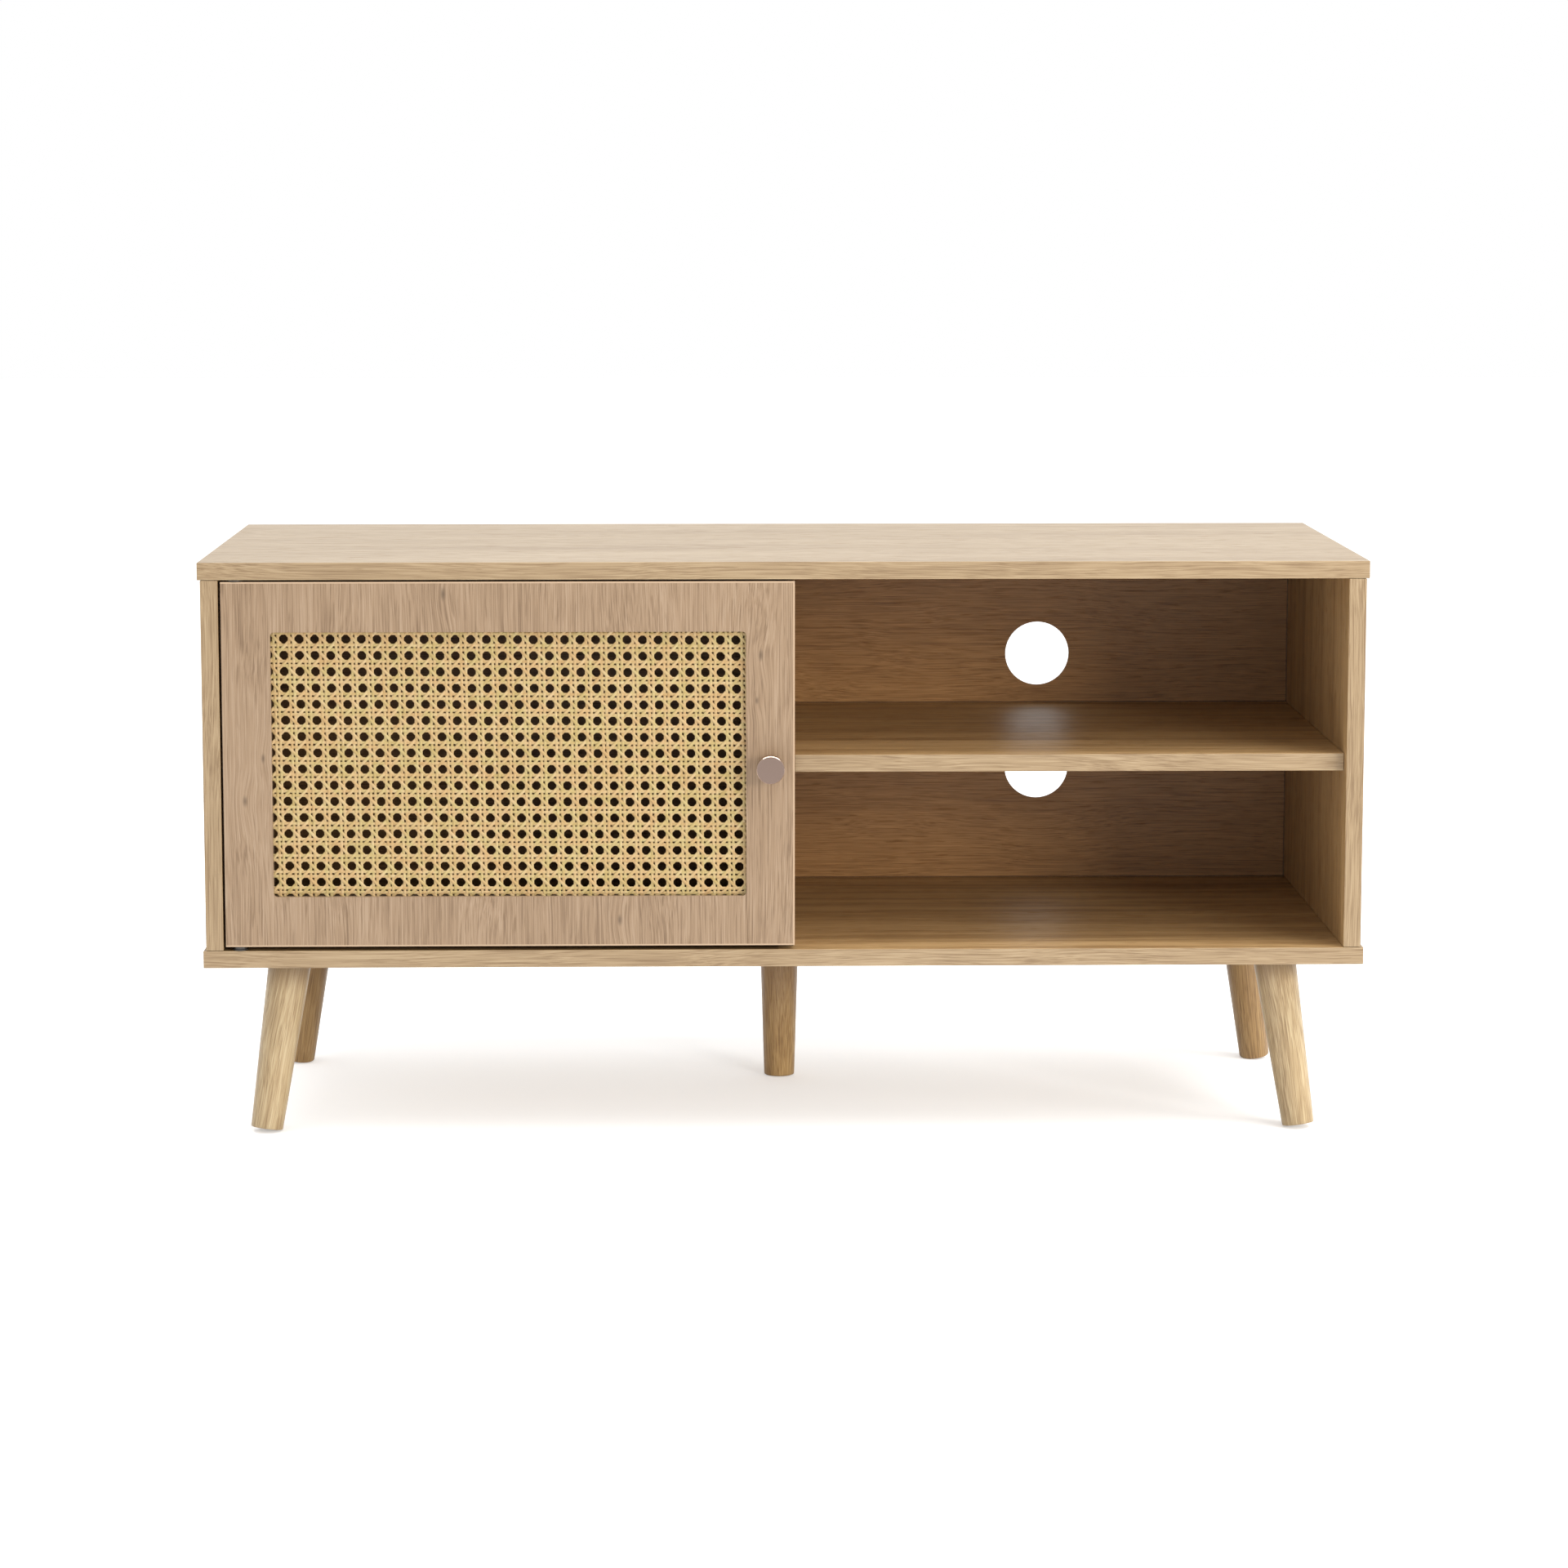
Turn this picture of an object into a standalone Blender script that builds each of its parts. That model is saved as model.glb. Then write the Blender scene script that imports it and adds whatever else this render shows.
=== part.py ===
"""Low TV stand in oak-look board: one cane-fronted door, one open bay with a shelf, five turned legs.

Frame: metres, +Z up, X along the width, -Y towards the front. The origin lies on the floor, under the
centre of the whole object's box (the knob included).
"""
from math import cos, pi, radians, sin, tan

import bmesh
import bpy
from mathutils import Matrix, Vector

MM = 0.001
CLEARANCE = 0.3 * MM          # gap kept between pieces that touch

# ---- driving dimensions -------------------------------------------------------------------------
WIDTH = 1000 * MM             # top and bottom panels
DEPTH = 400 * MM
BOARD = 15 * MM               # every oak-look board
INNER_HEIGHT = 320 * MM       # clear height between the bottom and the top panel
GROUND_CLEARANCE = 155 * MM   # floor to the underside of the bottom panel
SIDE_INSET = 2.5 * MM         # the side panels stand in from the ends of the top panel
BOARD_BEVEL = 0.5 * MM        # broken edge of an edge-banded board

KNOB_REACH = 22 * MM          # knob face in front of the door
KNOB_RADIUS = 12 * MM

# ---- planes worked out from them ----------------------------------------------------------------
FRONT = -(DEPTH + KNOB_REACH) / 2 + KNOB_REACH
REAR = FRONT + DEPTH
MIDDLE = (FRONT + REAR) / 2
UNDERSIDE = GROUND_CLEARANCE
FLOOR_TOP = UNDERSIDE + BOARD
CEILING = FLOOR_TOP + INNER_HEIGHT
TOP = CEILING + BOARD
SIDE_OUTER = WIDTH / 2 - SIDE_INSET
SIDE_INNER = SIDE_OUTER - BOARD
SIDE_CENTRE = (SIDE_OUTER + SIDE_INNER) / 2

# ---- back panel ---------------------------------------------------------------------------------
BACK_THICKNESS = 3 * MM
BACK_FACE = FRONT + 372 * MM  # front face of the back panel
BACK_GROOVE = 5.5 * MM        # depth of the groove that holds it
CABLE_HOLE_RADIUS = 30 * MM
CABLE_HOLE_OFFSET = 54 * MM   # hole centres above and below the middle of the shelf

# ---- divider and shelf --------------------------------------------------------------------------
DIVIDER_RECESS = 17 * MM      # divider's front edge behind the front plane, under the door
SHELF_RECESS = 12 * MM
SHELF_CENTRE = (FLOOR_TOP + CEILING) / 2

# ---- door ---------------------------------------------------------------------------------------
DOOR_GAP_SIDE = 2 * MM
DOOR_GAP_TOP = 1.5 * MM
DOOR_GAP_BOTTOM = 3.5 * MM
DOOR_WIDTH = 489 * MM         # its free edge is flush with the divider's open-bay face
STILE = 41.75 * MM
RAIL = 43.25 * MM
OPENING_RADIUS = 3 * MM
LIP = 4 * MM                  # front lip that the cane lies against
REBATE = 8 * MM               # rebate round the opening, on the inner face
CANE_THICKNESS = 1.8 * MM
BEAD_WIDTH = 7.4 * MM

DOOR_LEFT = -SIDE_INNER + DOOR_GAP_SIDE
DOOR_RIGHT = DOOR_LEFT + DOOR_WIDTH
DIVIDER_RIGHT = DOOR_RIGHT
DIVIDER_LEFT = DIVIDER_RIGHT - BOARD
DIVIDER_CENTRE = DIVIDER_RIGHT - BOARD / 2
BAY_CENTRE = (DIVIDER_RIGHT + SIDE_INNER) / 2
DOOR_BOTTOM = FLOOR_TOP + DOOR_GAP_BOTTOM
DOOR_TOP = CEILING - DOOR_GAP_TOP
DOOR_BACK = FRONT + BOARD
DOOR_MIDDLE = (DOOR_BOTTOM + DOOR_TOP) / 2
OPENING = (DOOR_LEFT + STILE, DOOR_RIGHT - STILE, DOOR_BOTTOM + RAIL, DOOR_TOP - RAIL)
CANE_FRONT = FRONT + LIP + CLEARANCE
BEAD_FRONT = CANE_FRONT + CANE_THICKNESS + CLEARANCE

KNOB_FROM_EDGE = 21 * MM
KNOB_X = DOOR_RIGHT - KNOB_FROM_EDGE
KNOB_Z = DOOR_MIDDLE - 2.3 * MM  # just below the middle of the door

# ---- pivot hinge: steel pins in the door's ends, nylon bushes in the panels -----------------------
PIVOT_X = DOOR_LEFT + 12 * MM
PIVOT_Y = FRONT + 6 * MM
PIN_RADIUS = 2.5 * MM
PIN_IN_DOOR = 18 * MM
PIN_IN_BUSH = 8 * MM
BUSH_BORE = 2.7 * MM
BUSH_RADIUS = 4.5 * MM
BUSH_LENGTH = 10 * MM
BUSH_FLANGE_RADIUS = 6.5 * MM
BUSH_FLANGE = 0.8 * MM
WASHER_RADIUS = 5.5 * MM

# ---- magnetic catch, on the divider's inner face -------------------------------------------------
CATCH_SIZE = Vector((15, 14, 46)) * MM
CATCH_CENTRE_Z = CEILING - 45 * MM
CATCH_SCREW_SPACING = 34 * MM
MAGNET_SIZE = Vector((9, 8, 20)) * MM
CATCH_SCREW_RADIUS = 1.6 * MM
CATCH_SCREW_LENGTH = 24 * MM
CATCH_SCREW_IN_DIVIDER = 10 * MM
STRIKE_SIZE = Vector((14, 1.2, 54)) * MM
STRIKE_ABOVE_CATCH = 19 * MM  # the plate's top above the middle of the catch; its foot clears the housing
STRIKE_SCREW_RADIUS = 1.5 * MM
STRIKE_SCREW_LENGTH = 10 * MM
STRIKE_SCREW_FROM_END = 5 * MM
BUMPER_RADIUS = 4 * MM
BUMPER_THICKNESS = 1.4 * MM
BUMPER_FROM_END = 22 * MM

# ---- hidden joinery -----------------------------------------------------------------------------
DOWEL_RADIUS = 4 * MM
DOWEL_LENGTH = 30 * MM
DOWEL_IN_PANEL = 10 * MM
SHELF_DOWEL_RADIUS = 3 * MM
SHELF_DOWEL_LENGTH = 24 * MM
SHELF_DOWEL_IN_SIDE = 8 * MM
JOINT_FRONT = FRONT + 60 * MM
JOINT_REAR = FRONT + 345 * MM
SCREW_LENGTH = 50 * MM        # connecting screws driven up through the bottom panel
SCREW_HEAD = 4.6 * MM
SCREW_SHANK = 3.4 * MM
SCREW_CORE = 2.6 * MM
SCREW_SINK = 4.5 * MM         # depth of the head's recess
SOCKET_RADIUS = 2 * MM
SOCKET_DEPTH = 3 * MM

# ---- legs ---------------------------------------------------------------------------------------
LEG_INSET_X = 68 * MM         # leg axis at the underside, from the end of the panel
LEG_INSET_Y = 75 * MM         # and from its front and rear edges
CENTRE_LEG_FROM_REAR = 120 * MM
SPLAY = radians(8)            # lean outwards, both sideways and front to back
LEG_TOP_RADIUS = 18.7 * MM
LEG_FOOT_RADIUS = 14 * MM
LEG_EDGE = 1 * MM             # rounding of the foot's and the top's edge
LEG_BORE_DEPTH = 28 * MM
PLATE_SIZE = 60 * MM
PLATE_THICKNESS = 2.5 * MM
SEAT_RADIUS = 15 * MM
SEAT_DROP = 4.3 * MM          # centre of the slanted seat below its plate
SEAT_STOCK = 4 * SEAT_DROP    # height of the rod that the seat is sliced from
BOLT_RADIUS = 4 * MM
BOLT_IN_LEG = 26 * MM
BOLT_ABOVE_PLATE = 3 * MM
BOLT_RECESS_RADIUS = 9 * MM
BOLT_RECESS_DEPTH = 7 * MM
PLATE_HOLE_RADIUS = 2.4 * MM
PLATE_HOLE_OFFSET = 23 * MM

# ---- facets of round pieces ----------------------------------------------------------------------
FINE = 48                     # cable holes
ROUND = 40                    # knob
MEDIUM = 32                   # legs
COARSE = 16                   # hinge and seats
HIDDEN = 8                    # dowels, screw shanks and their bores


# ==== scene ======================================================================================
for old in list(bpy.data.objects):
    bpy.data.objects.remove(old)

parts = bpy.data.collections.new("tv_stand")
cutters = bpy.data.collections.new("cutters")
for group in (parts, cutters):
    bpy.context.scene.collection.children.link(group)


def material(name, colour, roughness, metallic=0.0):
    made = bpy.data.materials.new(name)
    made.use_nodes = True
    shader = made.node_tree.nodes["Principled BSDF"]
    shader.inputs["Base Color"].default_value = (*colour, 1)
    shader.inputs["Roughness"].default_value = roughness
    shader.inputs["Metallic"].default_value = metallic
    made.diffuse_color = (*colour, 1)
    return made


OAK = material("carcass_oak", (0.60, 0.42, 0.25), 0.45)
DOOR_OAK = material("door_oak", (0.52, 0.36, 0.25), 0.45)
LEG_OAK = material("leg_oak", (0.52, 0.35, 0.18), 0.5)
BACK_OAK = material("back_oak", (0.48, 0.32, 0.18), 0.5)
CANE = material("cane", (0.80, 0.58, 0.25), 0.55)
KNOB_METAL = material("knob_metal", (0.42, 0.31, 0.26), 0.35, 1.0)
STEEL = material("steel", (0.62, 0.62, 0.60), 0.35, 1.0)
BLACK_STEEL = material("black_steel", (0.03, 0.03, 0.03), 0.5, 0.6)
NYLON = material("nylon", (0.08, 0.07, 0.06), 0.5)
CATCH_PLASTIC = material("catch_plastic", (0.30, 0.19, 0.10), 0.45)
RUBBER = material("clear_bumper", (0.75, 0.75, 0.72), 0.3)
BEECH = material("dowel_beech", (0.70, 0.52, 0.33), 0.6)


# ==== building blocks ============================================================================
def place(name, bm, surface, location=(0, 0, 0), up=None, group=parts):
    """Make an object of a bmesh, with its local +Z turned to `up`."""
    mesh = bpy.data.meshes.new(name)
    bm.to_mesh(mesh)
    bm.free()
    if surface:
        mesh.materials.append(surface)
    made = bpy.data.objects.new(name, mesh)
    made.location = location
    if up is not None:
        made.rotation_euler = Vector((0, 0, 1)).rotation_difference(Vector(up)).to_euler()
    group.objects.link(made)
    if group is cutters:
        made.hide_render = True
        made.display_type = "WIRE"
    return made


def smooth(made, angle=35):
    made.data.shade_smooth()
    made.data.set_sharp_from_angle(angle=radians(angle))


def block_mesh(size):
    bm = bmesh.new()
    bmesh.ops.create_cube(bm, size=1)
    bmesh.ops.scale(bm, vec=size, verts=bm.verts)
    return bm


def block(name, low, high, surface, bevel=BOARD_BEVEL, segments=2, group=parts):
    """A board or bar between two corners, with its edges broken."""
    low, high = Vector(low), Vector(high)
    made = place(name, block_mesh(high - low), surface, (low + high) / 2, group=group)
    if bevel:
        edge = made.modifiers.new("edges", "BEVEL")
        edge.width = bevel
        edge.segments = segments
        edge.limit_method = "ANGLE"
    return made


def rod_mesh(radius, length, facets=HIDDEN):
    """A closed cylinder along Z, from 0 to length."""
    bm = bmesh.new()
    bmesh.ops.create_cone(bm, cap_ends=True, segments=facets, radius1=radius, radius2=radius, depth=length)
    bmesh.ops.translate(bm, vec=(0, 0, length / 2), verts=bm.verts)
    return bm


def turned(name, outline, surface, location, up=(0, 0, 1), facets=MEDIUM, group=parts):
    """Turn an outline of (radius, height) points, listed from the top down its outer side."""
    bm = bmesh.new()
    corners = [bm.verts.new((radius, 0, height)) for radius, height in outline]
    for first, second in zip(corners, corners[1:]):
        bm.edges.new((first, second))
    made = place(name, bm, surface, location, up, group)
    screw = made.modifiers.new("turn", "SCREW")
    screw.axis = "Z"
    screw.steps = facets
    screw.render_steps = facets
    screw.use_merge_vertices = True
    screw.merge_threshold = 0.00001
    return made


def bolt_outline(radius, length, chamfer):
    """A plain rod from height 0 to length, with both ends chamfered."""
    return [(0, length), (radius - chamfer, length), (radius, length - chamfer),
            (radius, chamfer), (radius - chamfer, 0), (0, 0)]


def cut(target, cutter):
    hole = target.modifiers.new("cut_" + cutter.name, "BOOLEAN")
    hole.operation = "DIFFERENCE"
    hole.solver = "EXACT"
    hole.object = cutter


def drill(target, radius, start, direction, depth, facets=HIDDEN):
    """Bore a round hole from a point just outside the face, along `direction`."""
    direction = Vector(direction).normalized()
    over = 1 * MM
    name = "bore_" + str(len(cutters.objects))
    bore = place(name, rod_mesh(radius, depth + over, facets), None,
                 Vector(start) - direction * over, direction, cutters)
    cut(target, bore)


def rounded_window(name, left, right, bottom, top, front, back, radius):
    """A cutter with rounded corners, for an opening seen from the front."""
    size = Vector((right - left, back - front, top - bottom))
    bm = block_mesh(size)
    upright = [edge for edge in bm.edges if abs((edge.verts[0].co - edge.verts[1].co).y) > size.y / 2]
    bmesh.ops.bevel(bm, geom=upright, offset=radius, segments=4, profile=0.5, affect="EDGES")
    centre = ((left + right) / 2, (front + back) / 2, (bottom + top) / 2)
    return place(name, bm, None, centre, group=cutters)


def pan_screw(name, head_radius, shank_radius, length, location, direction):
    """A pan-head screw whose head sits at `location`, its shank running along `direction`."""
    head = head_radius * 0.55
    outline = [(0, length), (shank_radius * 0.3, length), (shank_radius, length - 2 * shank_radius),
               (shank_radius, 0), (head_radius, 0)]
    for step in range(1, 3):
        turn = step * pi / 6
        outline.append((head_radius * (0.55 + 0.45 * cos(turn)), -head * sin(turn)))
    outline.append((0, -head))
    made = turned(name, outline, STEEL, location, direction, COARSE)
    direction = Vector(direction).normalized()
    aim = Vector((0, 0, 1)).rotation_difference(direction).to_matrix().to_4x4()
    for arm in range(2):
        slot = block_mesh((head_radius * 1.0, head_radius * 0.22, head * 1.2))
        turn = Matrix.Rotation(arm * pi / 2, 4, "Z")
        bmesh.ops.transform(slot, matrix=aim @ turn, verts=slot.verts)
        recess = place(name + "_slot_" + str(arm), slot, None,
                       Vector(location) - direction * head, group=cutters)
        cut(made, recess)
    return made


# ==== carcass boards =============================================================================
top_panel = block("top_panel", (-WIDTH / 2, FRONT, CEILING), (WIDTH / 2, REAR, TOP), OAK)
bottom_panel = block("bottom_panel", (-WIDTH / 2, FRONT, UNDERSIDE), (WIDTH / 2, REAR, FLOOR_TOP), OAK)

BOARD_FOOT = FLOOR_TOP + CLEARANCE
BOARD_HEAD = CEILING - CLEARANCE
sides = {}
for label, hand in (("left", -1), ("right", 1)):
    inner, outer = sorted((hand * SIDE_INNER, hand * SIDE_OUTER))
    sides[label] = block("side_panel_" + label, (inner, FRONT, BOARD_FOOT), (outer, REAR, BOARD_HEAD), OAK)

BOARD_BACK = BACK_FACE - CLEARANCE
divider = block("divider_panel", (DIVIDER_LEFT, FRONT + DIVIDER_RECESS, BOARD_FOOT),
                (DIVIDER_RIGHT, BOARD_BACK, BOARD_HEAD), OAK)
shelf = block("shelf", (DIVIDER_RIGHT + CLEARANCE, FRONT + SHELF_RECESS, SHELF_CENTRE - BOARD / 2),
              (SIDE_INNER - CLEARANCE, BOARD_BACK, SHELF_CENTRE + BOARD / 2), OAK)

# ---- back panel, in a groove of the four outer boards --------------------------------------------
groove = block("back_groove",
               (-SIDE_INNER - BACK_GROOVE, BACK_FACE - CLEARANCE, FLOOR_TOP - BACK_GROOVE),
               (SIDE_INNER + BACK_GROOVE, BACK_FACE + BACK_THICKNESS + CLEARANCE, CEILING + BACK_GROOVE),
               None, bevel=0, group=cutters)
for board in (top_panel, bottom_panel, *sides.values()):
    cut(board, groove)

BACK_MARGIN = BACK_GROOVE - CLEARANCE
back_panel = block("back_panel",
                   (-SIDE_INNER - BACK_MARGIN, BACK_FACE, FLOOR_TOP - BACK_MARGIN),
                   (SIDE_INNER + BACK_MARGIN, BACK_FACE + BACK_THICKNESS, CEILING + BACK_MARGIN),
                   BACK_OAK, bevel=0)
for level in (-1, 1):
    hole_z = SHELF_CENTRE + level * CABLE_HOLE_OFFSET
    drill(back_panel, CABLE_HOLE_RADIUS, (BAY_CENTRE, BACK_FACE, hole_z), (0, 1, 0), BACK_THICKNESS + MM, FINE)

# ---- top joints: glued dowels; bottom joints: connecting screws -----------------------------------
UPRIGHTS = (("left", -SIDE_CENTRE, sides["left"]), ("middle", DIVIDER_CENTRE, divider),
            ("right", SIDE_CENTRE, sides["right"]))
screw_outline = [(0, SCREW_LENGTH), (0.8 * MM, SCREW_LENGTH), (SCREW_CORE, SCREW_LENGTH - 4 * MM),
                 (SCREW_CORE, BOARD), (SCREW_SHANK, BOARD), (SCREW_SHANK, 4 * MM),
                 (SCREW_HEAD, 1.5 * MM), (SCREW_HEAD, 0), (0, 0)]

for label, across, upright in UPRIGHTS:
    for place_name, along in (("front", JOINT_FRONT), ("rear", JOINT_REAR)):
        seat = (across, along, CEILING)
        drill(top_panel, DOWEL_RADIUS + CLEARANCE, seat, (0, 0, 1), DOWEL_IN_PANEL + CLEARANCE)
        drill(upright, DOWEL_RADIUS + CLEARANCE, seat, (0, 0, -1), DOWEL_LENGTH - DOWEL_IN_PANEL + CLEARANCE)
        turned("top_dowel_" + label + "_" + place_name, bolt_outline(DOWEL_RADIUS, DOWEL_LENGTH, MM), BEECH,
               (across, along, CEILING + DOWEL_IN_PANEL - DOWEL_LENGTH), facets=HIDDEN)

        foot = Vector((across, along, UNDERSIDE))
        drill(bottom_panel, SCREW_SHANK + CLEARANCE, foot, (0, 0, 1), BOARD + MM)
        drill(bottom_panel, SCREW_HEAD + CLEARANCE, foot, (0, 0, 1), SCREW_SINK)
        drill(upright, SCREW_CORE + CLEARANCE, (across, along, FLOOR_TOP), (0, 0, 1), SCREW_LENGTH - BOARD + 2 * MM)
        screw = turned("connecting_screw_" + label + "_" + place_name, screw_outline, STEEL,
                       foot + Vector((0, 0, CLEARANCE)), facets=HIDDEN)
        drill(screw, SOCKET_RADIUS, foot + Vector((0, 0, CLEARANCE)), (0, 0, 1), SOCKET_DEPTH, 6)

# ---- shelf dowels -------------------------------------------------------------------------------
SHELF_DOWELS = (("left", DIVIDER_RIGHT, -1, divider), ("right", SIDE_INNER, 1, sides["right"]))
for label, face, hand, upright in SHELF_DOWELS:
    for place_name, along in (("front", JOINT_FRONT), ("rear", JOINT_REAR - 20 * MM)):
        seat = Vector((face, along, SHELF_CENTRE))
        out = Vector((hand, 0, 0))
        drill(upright, SHELF_DOWEL_RADIUS + CLEARANCE, seat, out, SHELF_DOWEL_IN_SIDE + CLEARANCE)
        inside = SHELF_DOWEL_LENGTH - SHELF_DOWEL_IN_SIDE
        drill(shelf, SHELF_DOWEL_RADIUS + CLEARANCE, seat, -out, inside + CLEARANCE)
        turned("shelf_dowel_" + label + "_" + place_name,
               bolt_outline(SHELF_DOWEL_RADIUS, SHELF_DOWEL_LENGTH, MM), BEECH,
               seat - out * inside, out, HIDDEN)


# ==== door =======================================================================================
door_frame = block("door_frame", (DOOR_LEFT, FRONT, DOOR_BOTTOM), (DOOR_RIGHT, DOOR_BACK, DOOR_TOP), DOOR_OAK)
left, right, bottom, top = OPENING
cut(door_frame, rounded_window("door_opening", left, right, bottom, top,
                               FRONT - MM, DOOR_BACK + MM, OPENING_RADIUS))
cut(door_frame, rounded_window("door_rebate", left - REBATE, right + REBATE, bottom - REBATE, top + REBATE,
                               FRONT + LIP, DOOR_BACK + MM, CLEARANCE))

inset = REBATE - CLEARANCE
cane = block("cane_webbing", (left - inset, CANE_FRONT, bottom - inset),
             (right + inset, CANE_FRONT + CANE_THICKNESS, top + inset), CANE, bevel=0)

BEAD_BACK = DOOR_BACK - CLEARANCE
beads = []
for label, low_z in (("bottom", bottom - inset), ("top", top + inset - BEAD_WIDTH)):
    beads.append(block("cane_bead_" + label, (left - inset, BEAD_FRONT, low_z),
                       (right + inset, BEAD_BACK, low_z + BEAD_WIDTH), DOOR_OAK, bevel=MM, segments=1))
for label, low_x in (("left", left - inset), ("right", right + inset - BEAD_WIDTH)):
    beads.append(block("cane_bead_" + label, (low_x, BEAD_FRONT, bottom - inset + BEAD_WIDTH + CLEARANCE),
                       (low_x + BEAD_WIDTH, BEAD_BACK, top + inset - BEAD_WIDTH - CLEARANCE),
                       DOOR_OAK, bevel=MM, segments=1))

# ---- knob and its screw -------------------------------------------------------------------------
KNOB_BASE = Vector((KNOB_X, FRONT - CLEARANCE, KNOB_Z))
KNOB_HEIGHT = KNOB_REACH - CLEARANCE
KNOB_HEAD = 11 * MM           # length of the cylindrical head
KNOB_NECK = 6.5 * MM
KNOB_EDGE = 1 * MM
KNOB_BORE = 10 * MM
KNOB_SCREW_RADIUS = 2 * MM
SWEEP = 4
knob_outline = [(0, KNOB_HEIGHT)]
for step in range(SWEEP + 1):
    turn = step / SWEEP * pi / 2
    knob_outline.append((KNOB_RADIUS - KNOB_EDGE * (1 - sin(turn)), KNOB_HEIGHT - KNOB_EDGE * (1 - cos(turn))))
neck_top = KNOB_HEIGHT - KNOB_HEAD
flare = 5 * MM
for step in range(SWEEP + 1):
    turn = step / SWEEP * pi / 2
    knob_outline.append((KNOB_NECK + (KNOB_RADIUS - KNOB_NECK) * cos(turn), neck_top - flare * sin(turn)))
knob_outline += [(KNOB_NECK, 1.5 * MM), (KNOB_NECK + MM, 1 * MM), (KNOB_NECK + MM, 0),
                 (KNOB_SCREW_RADIUS + CLEARANCE, 0), (KNOB_SCREW_RADIUS + CLEARANCE, KNOB_BORE), (0, KNOB_BORE)]
knob = turned("knob", knob_outline, KNOB_METAL, KNOB_BASE, (0, -1, 0), ROUND)

drill(door_frame, KNOB_SCREW_RADIUS + CLEARANCE, (KNOB_X, FRONT, KNOB_Z), (0, 1, 0), BOARD + MM)
knob_screw = pan_screw("knob_screw", 4 * MM, KNOB_SCREW_RADIUS, BOARD + 8 * MM,
                       (KNOB_X, DOOR_BACK + CLEARANCE, KNOB_Z), (0, -1, 0))

# ---- pivot pins, bushes and thrust washer -----------------------------------------------------------
door_pieces = [door_frame, cane, knob, knob_screw, *beads]
HINGE_ENDS = (("lower", DOOR_BOTTOM, -1, DOOR_GAP_BOTTOM, bottom_panel, FLOOR_TOP),
              ("upper", DOOR_TOP, 1, DOOR_GAP_TOP, top_panel, CEILING))
for label, door_end, hand, gap, panel, face in HINGE_ENDS:
    out = Vector((0, 0, hand))
    drill(door_frame, PIN_RADIUS + CLEARANCE, (PIVOT_X, PIVOT_Y, door_end), -out, PIN_IN_DOOR + CLEARANCE)
    pin_length = PIN_IN_DOOR + gap + PIN_IN_BUSH
    pin_start = Vector((PIVOT_X, PIVOT_Y, door_end)) - out * PIN_IN_DOOR
    door_pieces.append(turned("hinge_pin_" + label, bolt_outline(PIN_RADIUS, pin_length, 0.5 * MM), STEEL,
                              pin_start, out, COARSE))

    seat = Vector((PIVOT_X, PIVOT_Y, face))
    drill(panel, BUSH_RADIUS + CLEARANCE, seat, out, BUSH_LENGTH + CLEARANCE, COARSE)
    bush_outline = [(0, BUSH_LENGTH), (BUSH_RADIUS, BUSH_LENGTH), (BUSH_RADIUS, -CLEARANCE),
                    (BUSH_FLANGE_RADIUS, -CLEARANCE), (BUSH_FLANGE_RADIUS, -CLEARANCE - BUSH_FLANGE),
                    (BUSH_BORE, -CLEARANCE - BUSH_FLANGE), (BUSH_BORE, BUSH_LENGTH - MM), (0, BUSH_LENGTH - MM)]
    turned("hinge_bush_" + label, bush_outline, NYLON, seat, out, COARSE)

washer_low = FLOOR_TOP + 2 * CLEARANCE + BUSH_FLANGE
washer_high = DOOR_BOTTOM - CLEARANCE
washer = place("thrust_washer", rod_mesh(WASHER_RADIUS, washer_high - washer_low, COARSE), NYLON,
               (PIVOT_X, PIVOT_Y, washer_low))
drill(washer, BUSH_BORE, (PIVOT_X, PIVOT_Y, washer_low), (0, 0, 1), washer_high - washer_low + MM, COARSE)

# ---- magnetic catch on the divider, strike plate on the door, bumpers on the divider's edge -------------
catch_right = DIVIDER_LEFT - CLEARANCE
catch_front = FRONT + DIVIDER_RECESS
catch_low = Vector((catch_right - CATCH_SIZE.x, catch_front, CATCH_CENTRE_Z - CATCH_SIZE.z / 2))
catch = block("catch_housing", catch_low, catch_low + CATCH_SIZE, CATCH_PLASTIC, bevel=MM, segments=1)
catch_middle = catch_right - CATCH_SIZE.x / 2
pocket_half = MAGNET_SIZE / 2 + Vector((1, 1, 1)) * CLEARANCE
pocket = block("magnet_pocket",
               (catch_middle - pocket_half.x, catch_front - MM, CATCH_CENTRE_Z - pocket_half.z),
               (catch_middle + pocket_half.x, catch_front + 2 * pocket_half.y, CATCH_CENTRE_Z + pocket_half.z),
               None, bevel=0, group=cutters)
cut(catch, pocket)
block("catch_magnet",
      (catch_middle - MAGNET_SIZE.x / 2, catch_front, CATCH_CENTRE_Z - MAGNET_SIZE.z / 2),
      (catch_middle + MAGNET_SIZE.x / 2, catch_front + MAGNET_SIZE.y, CATCH_CENTRE_Z + MAGNET_SIZE.z / 2),
      BLACK_STEEL, bevel=0.3 * MM, segments=1)

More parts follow.
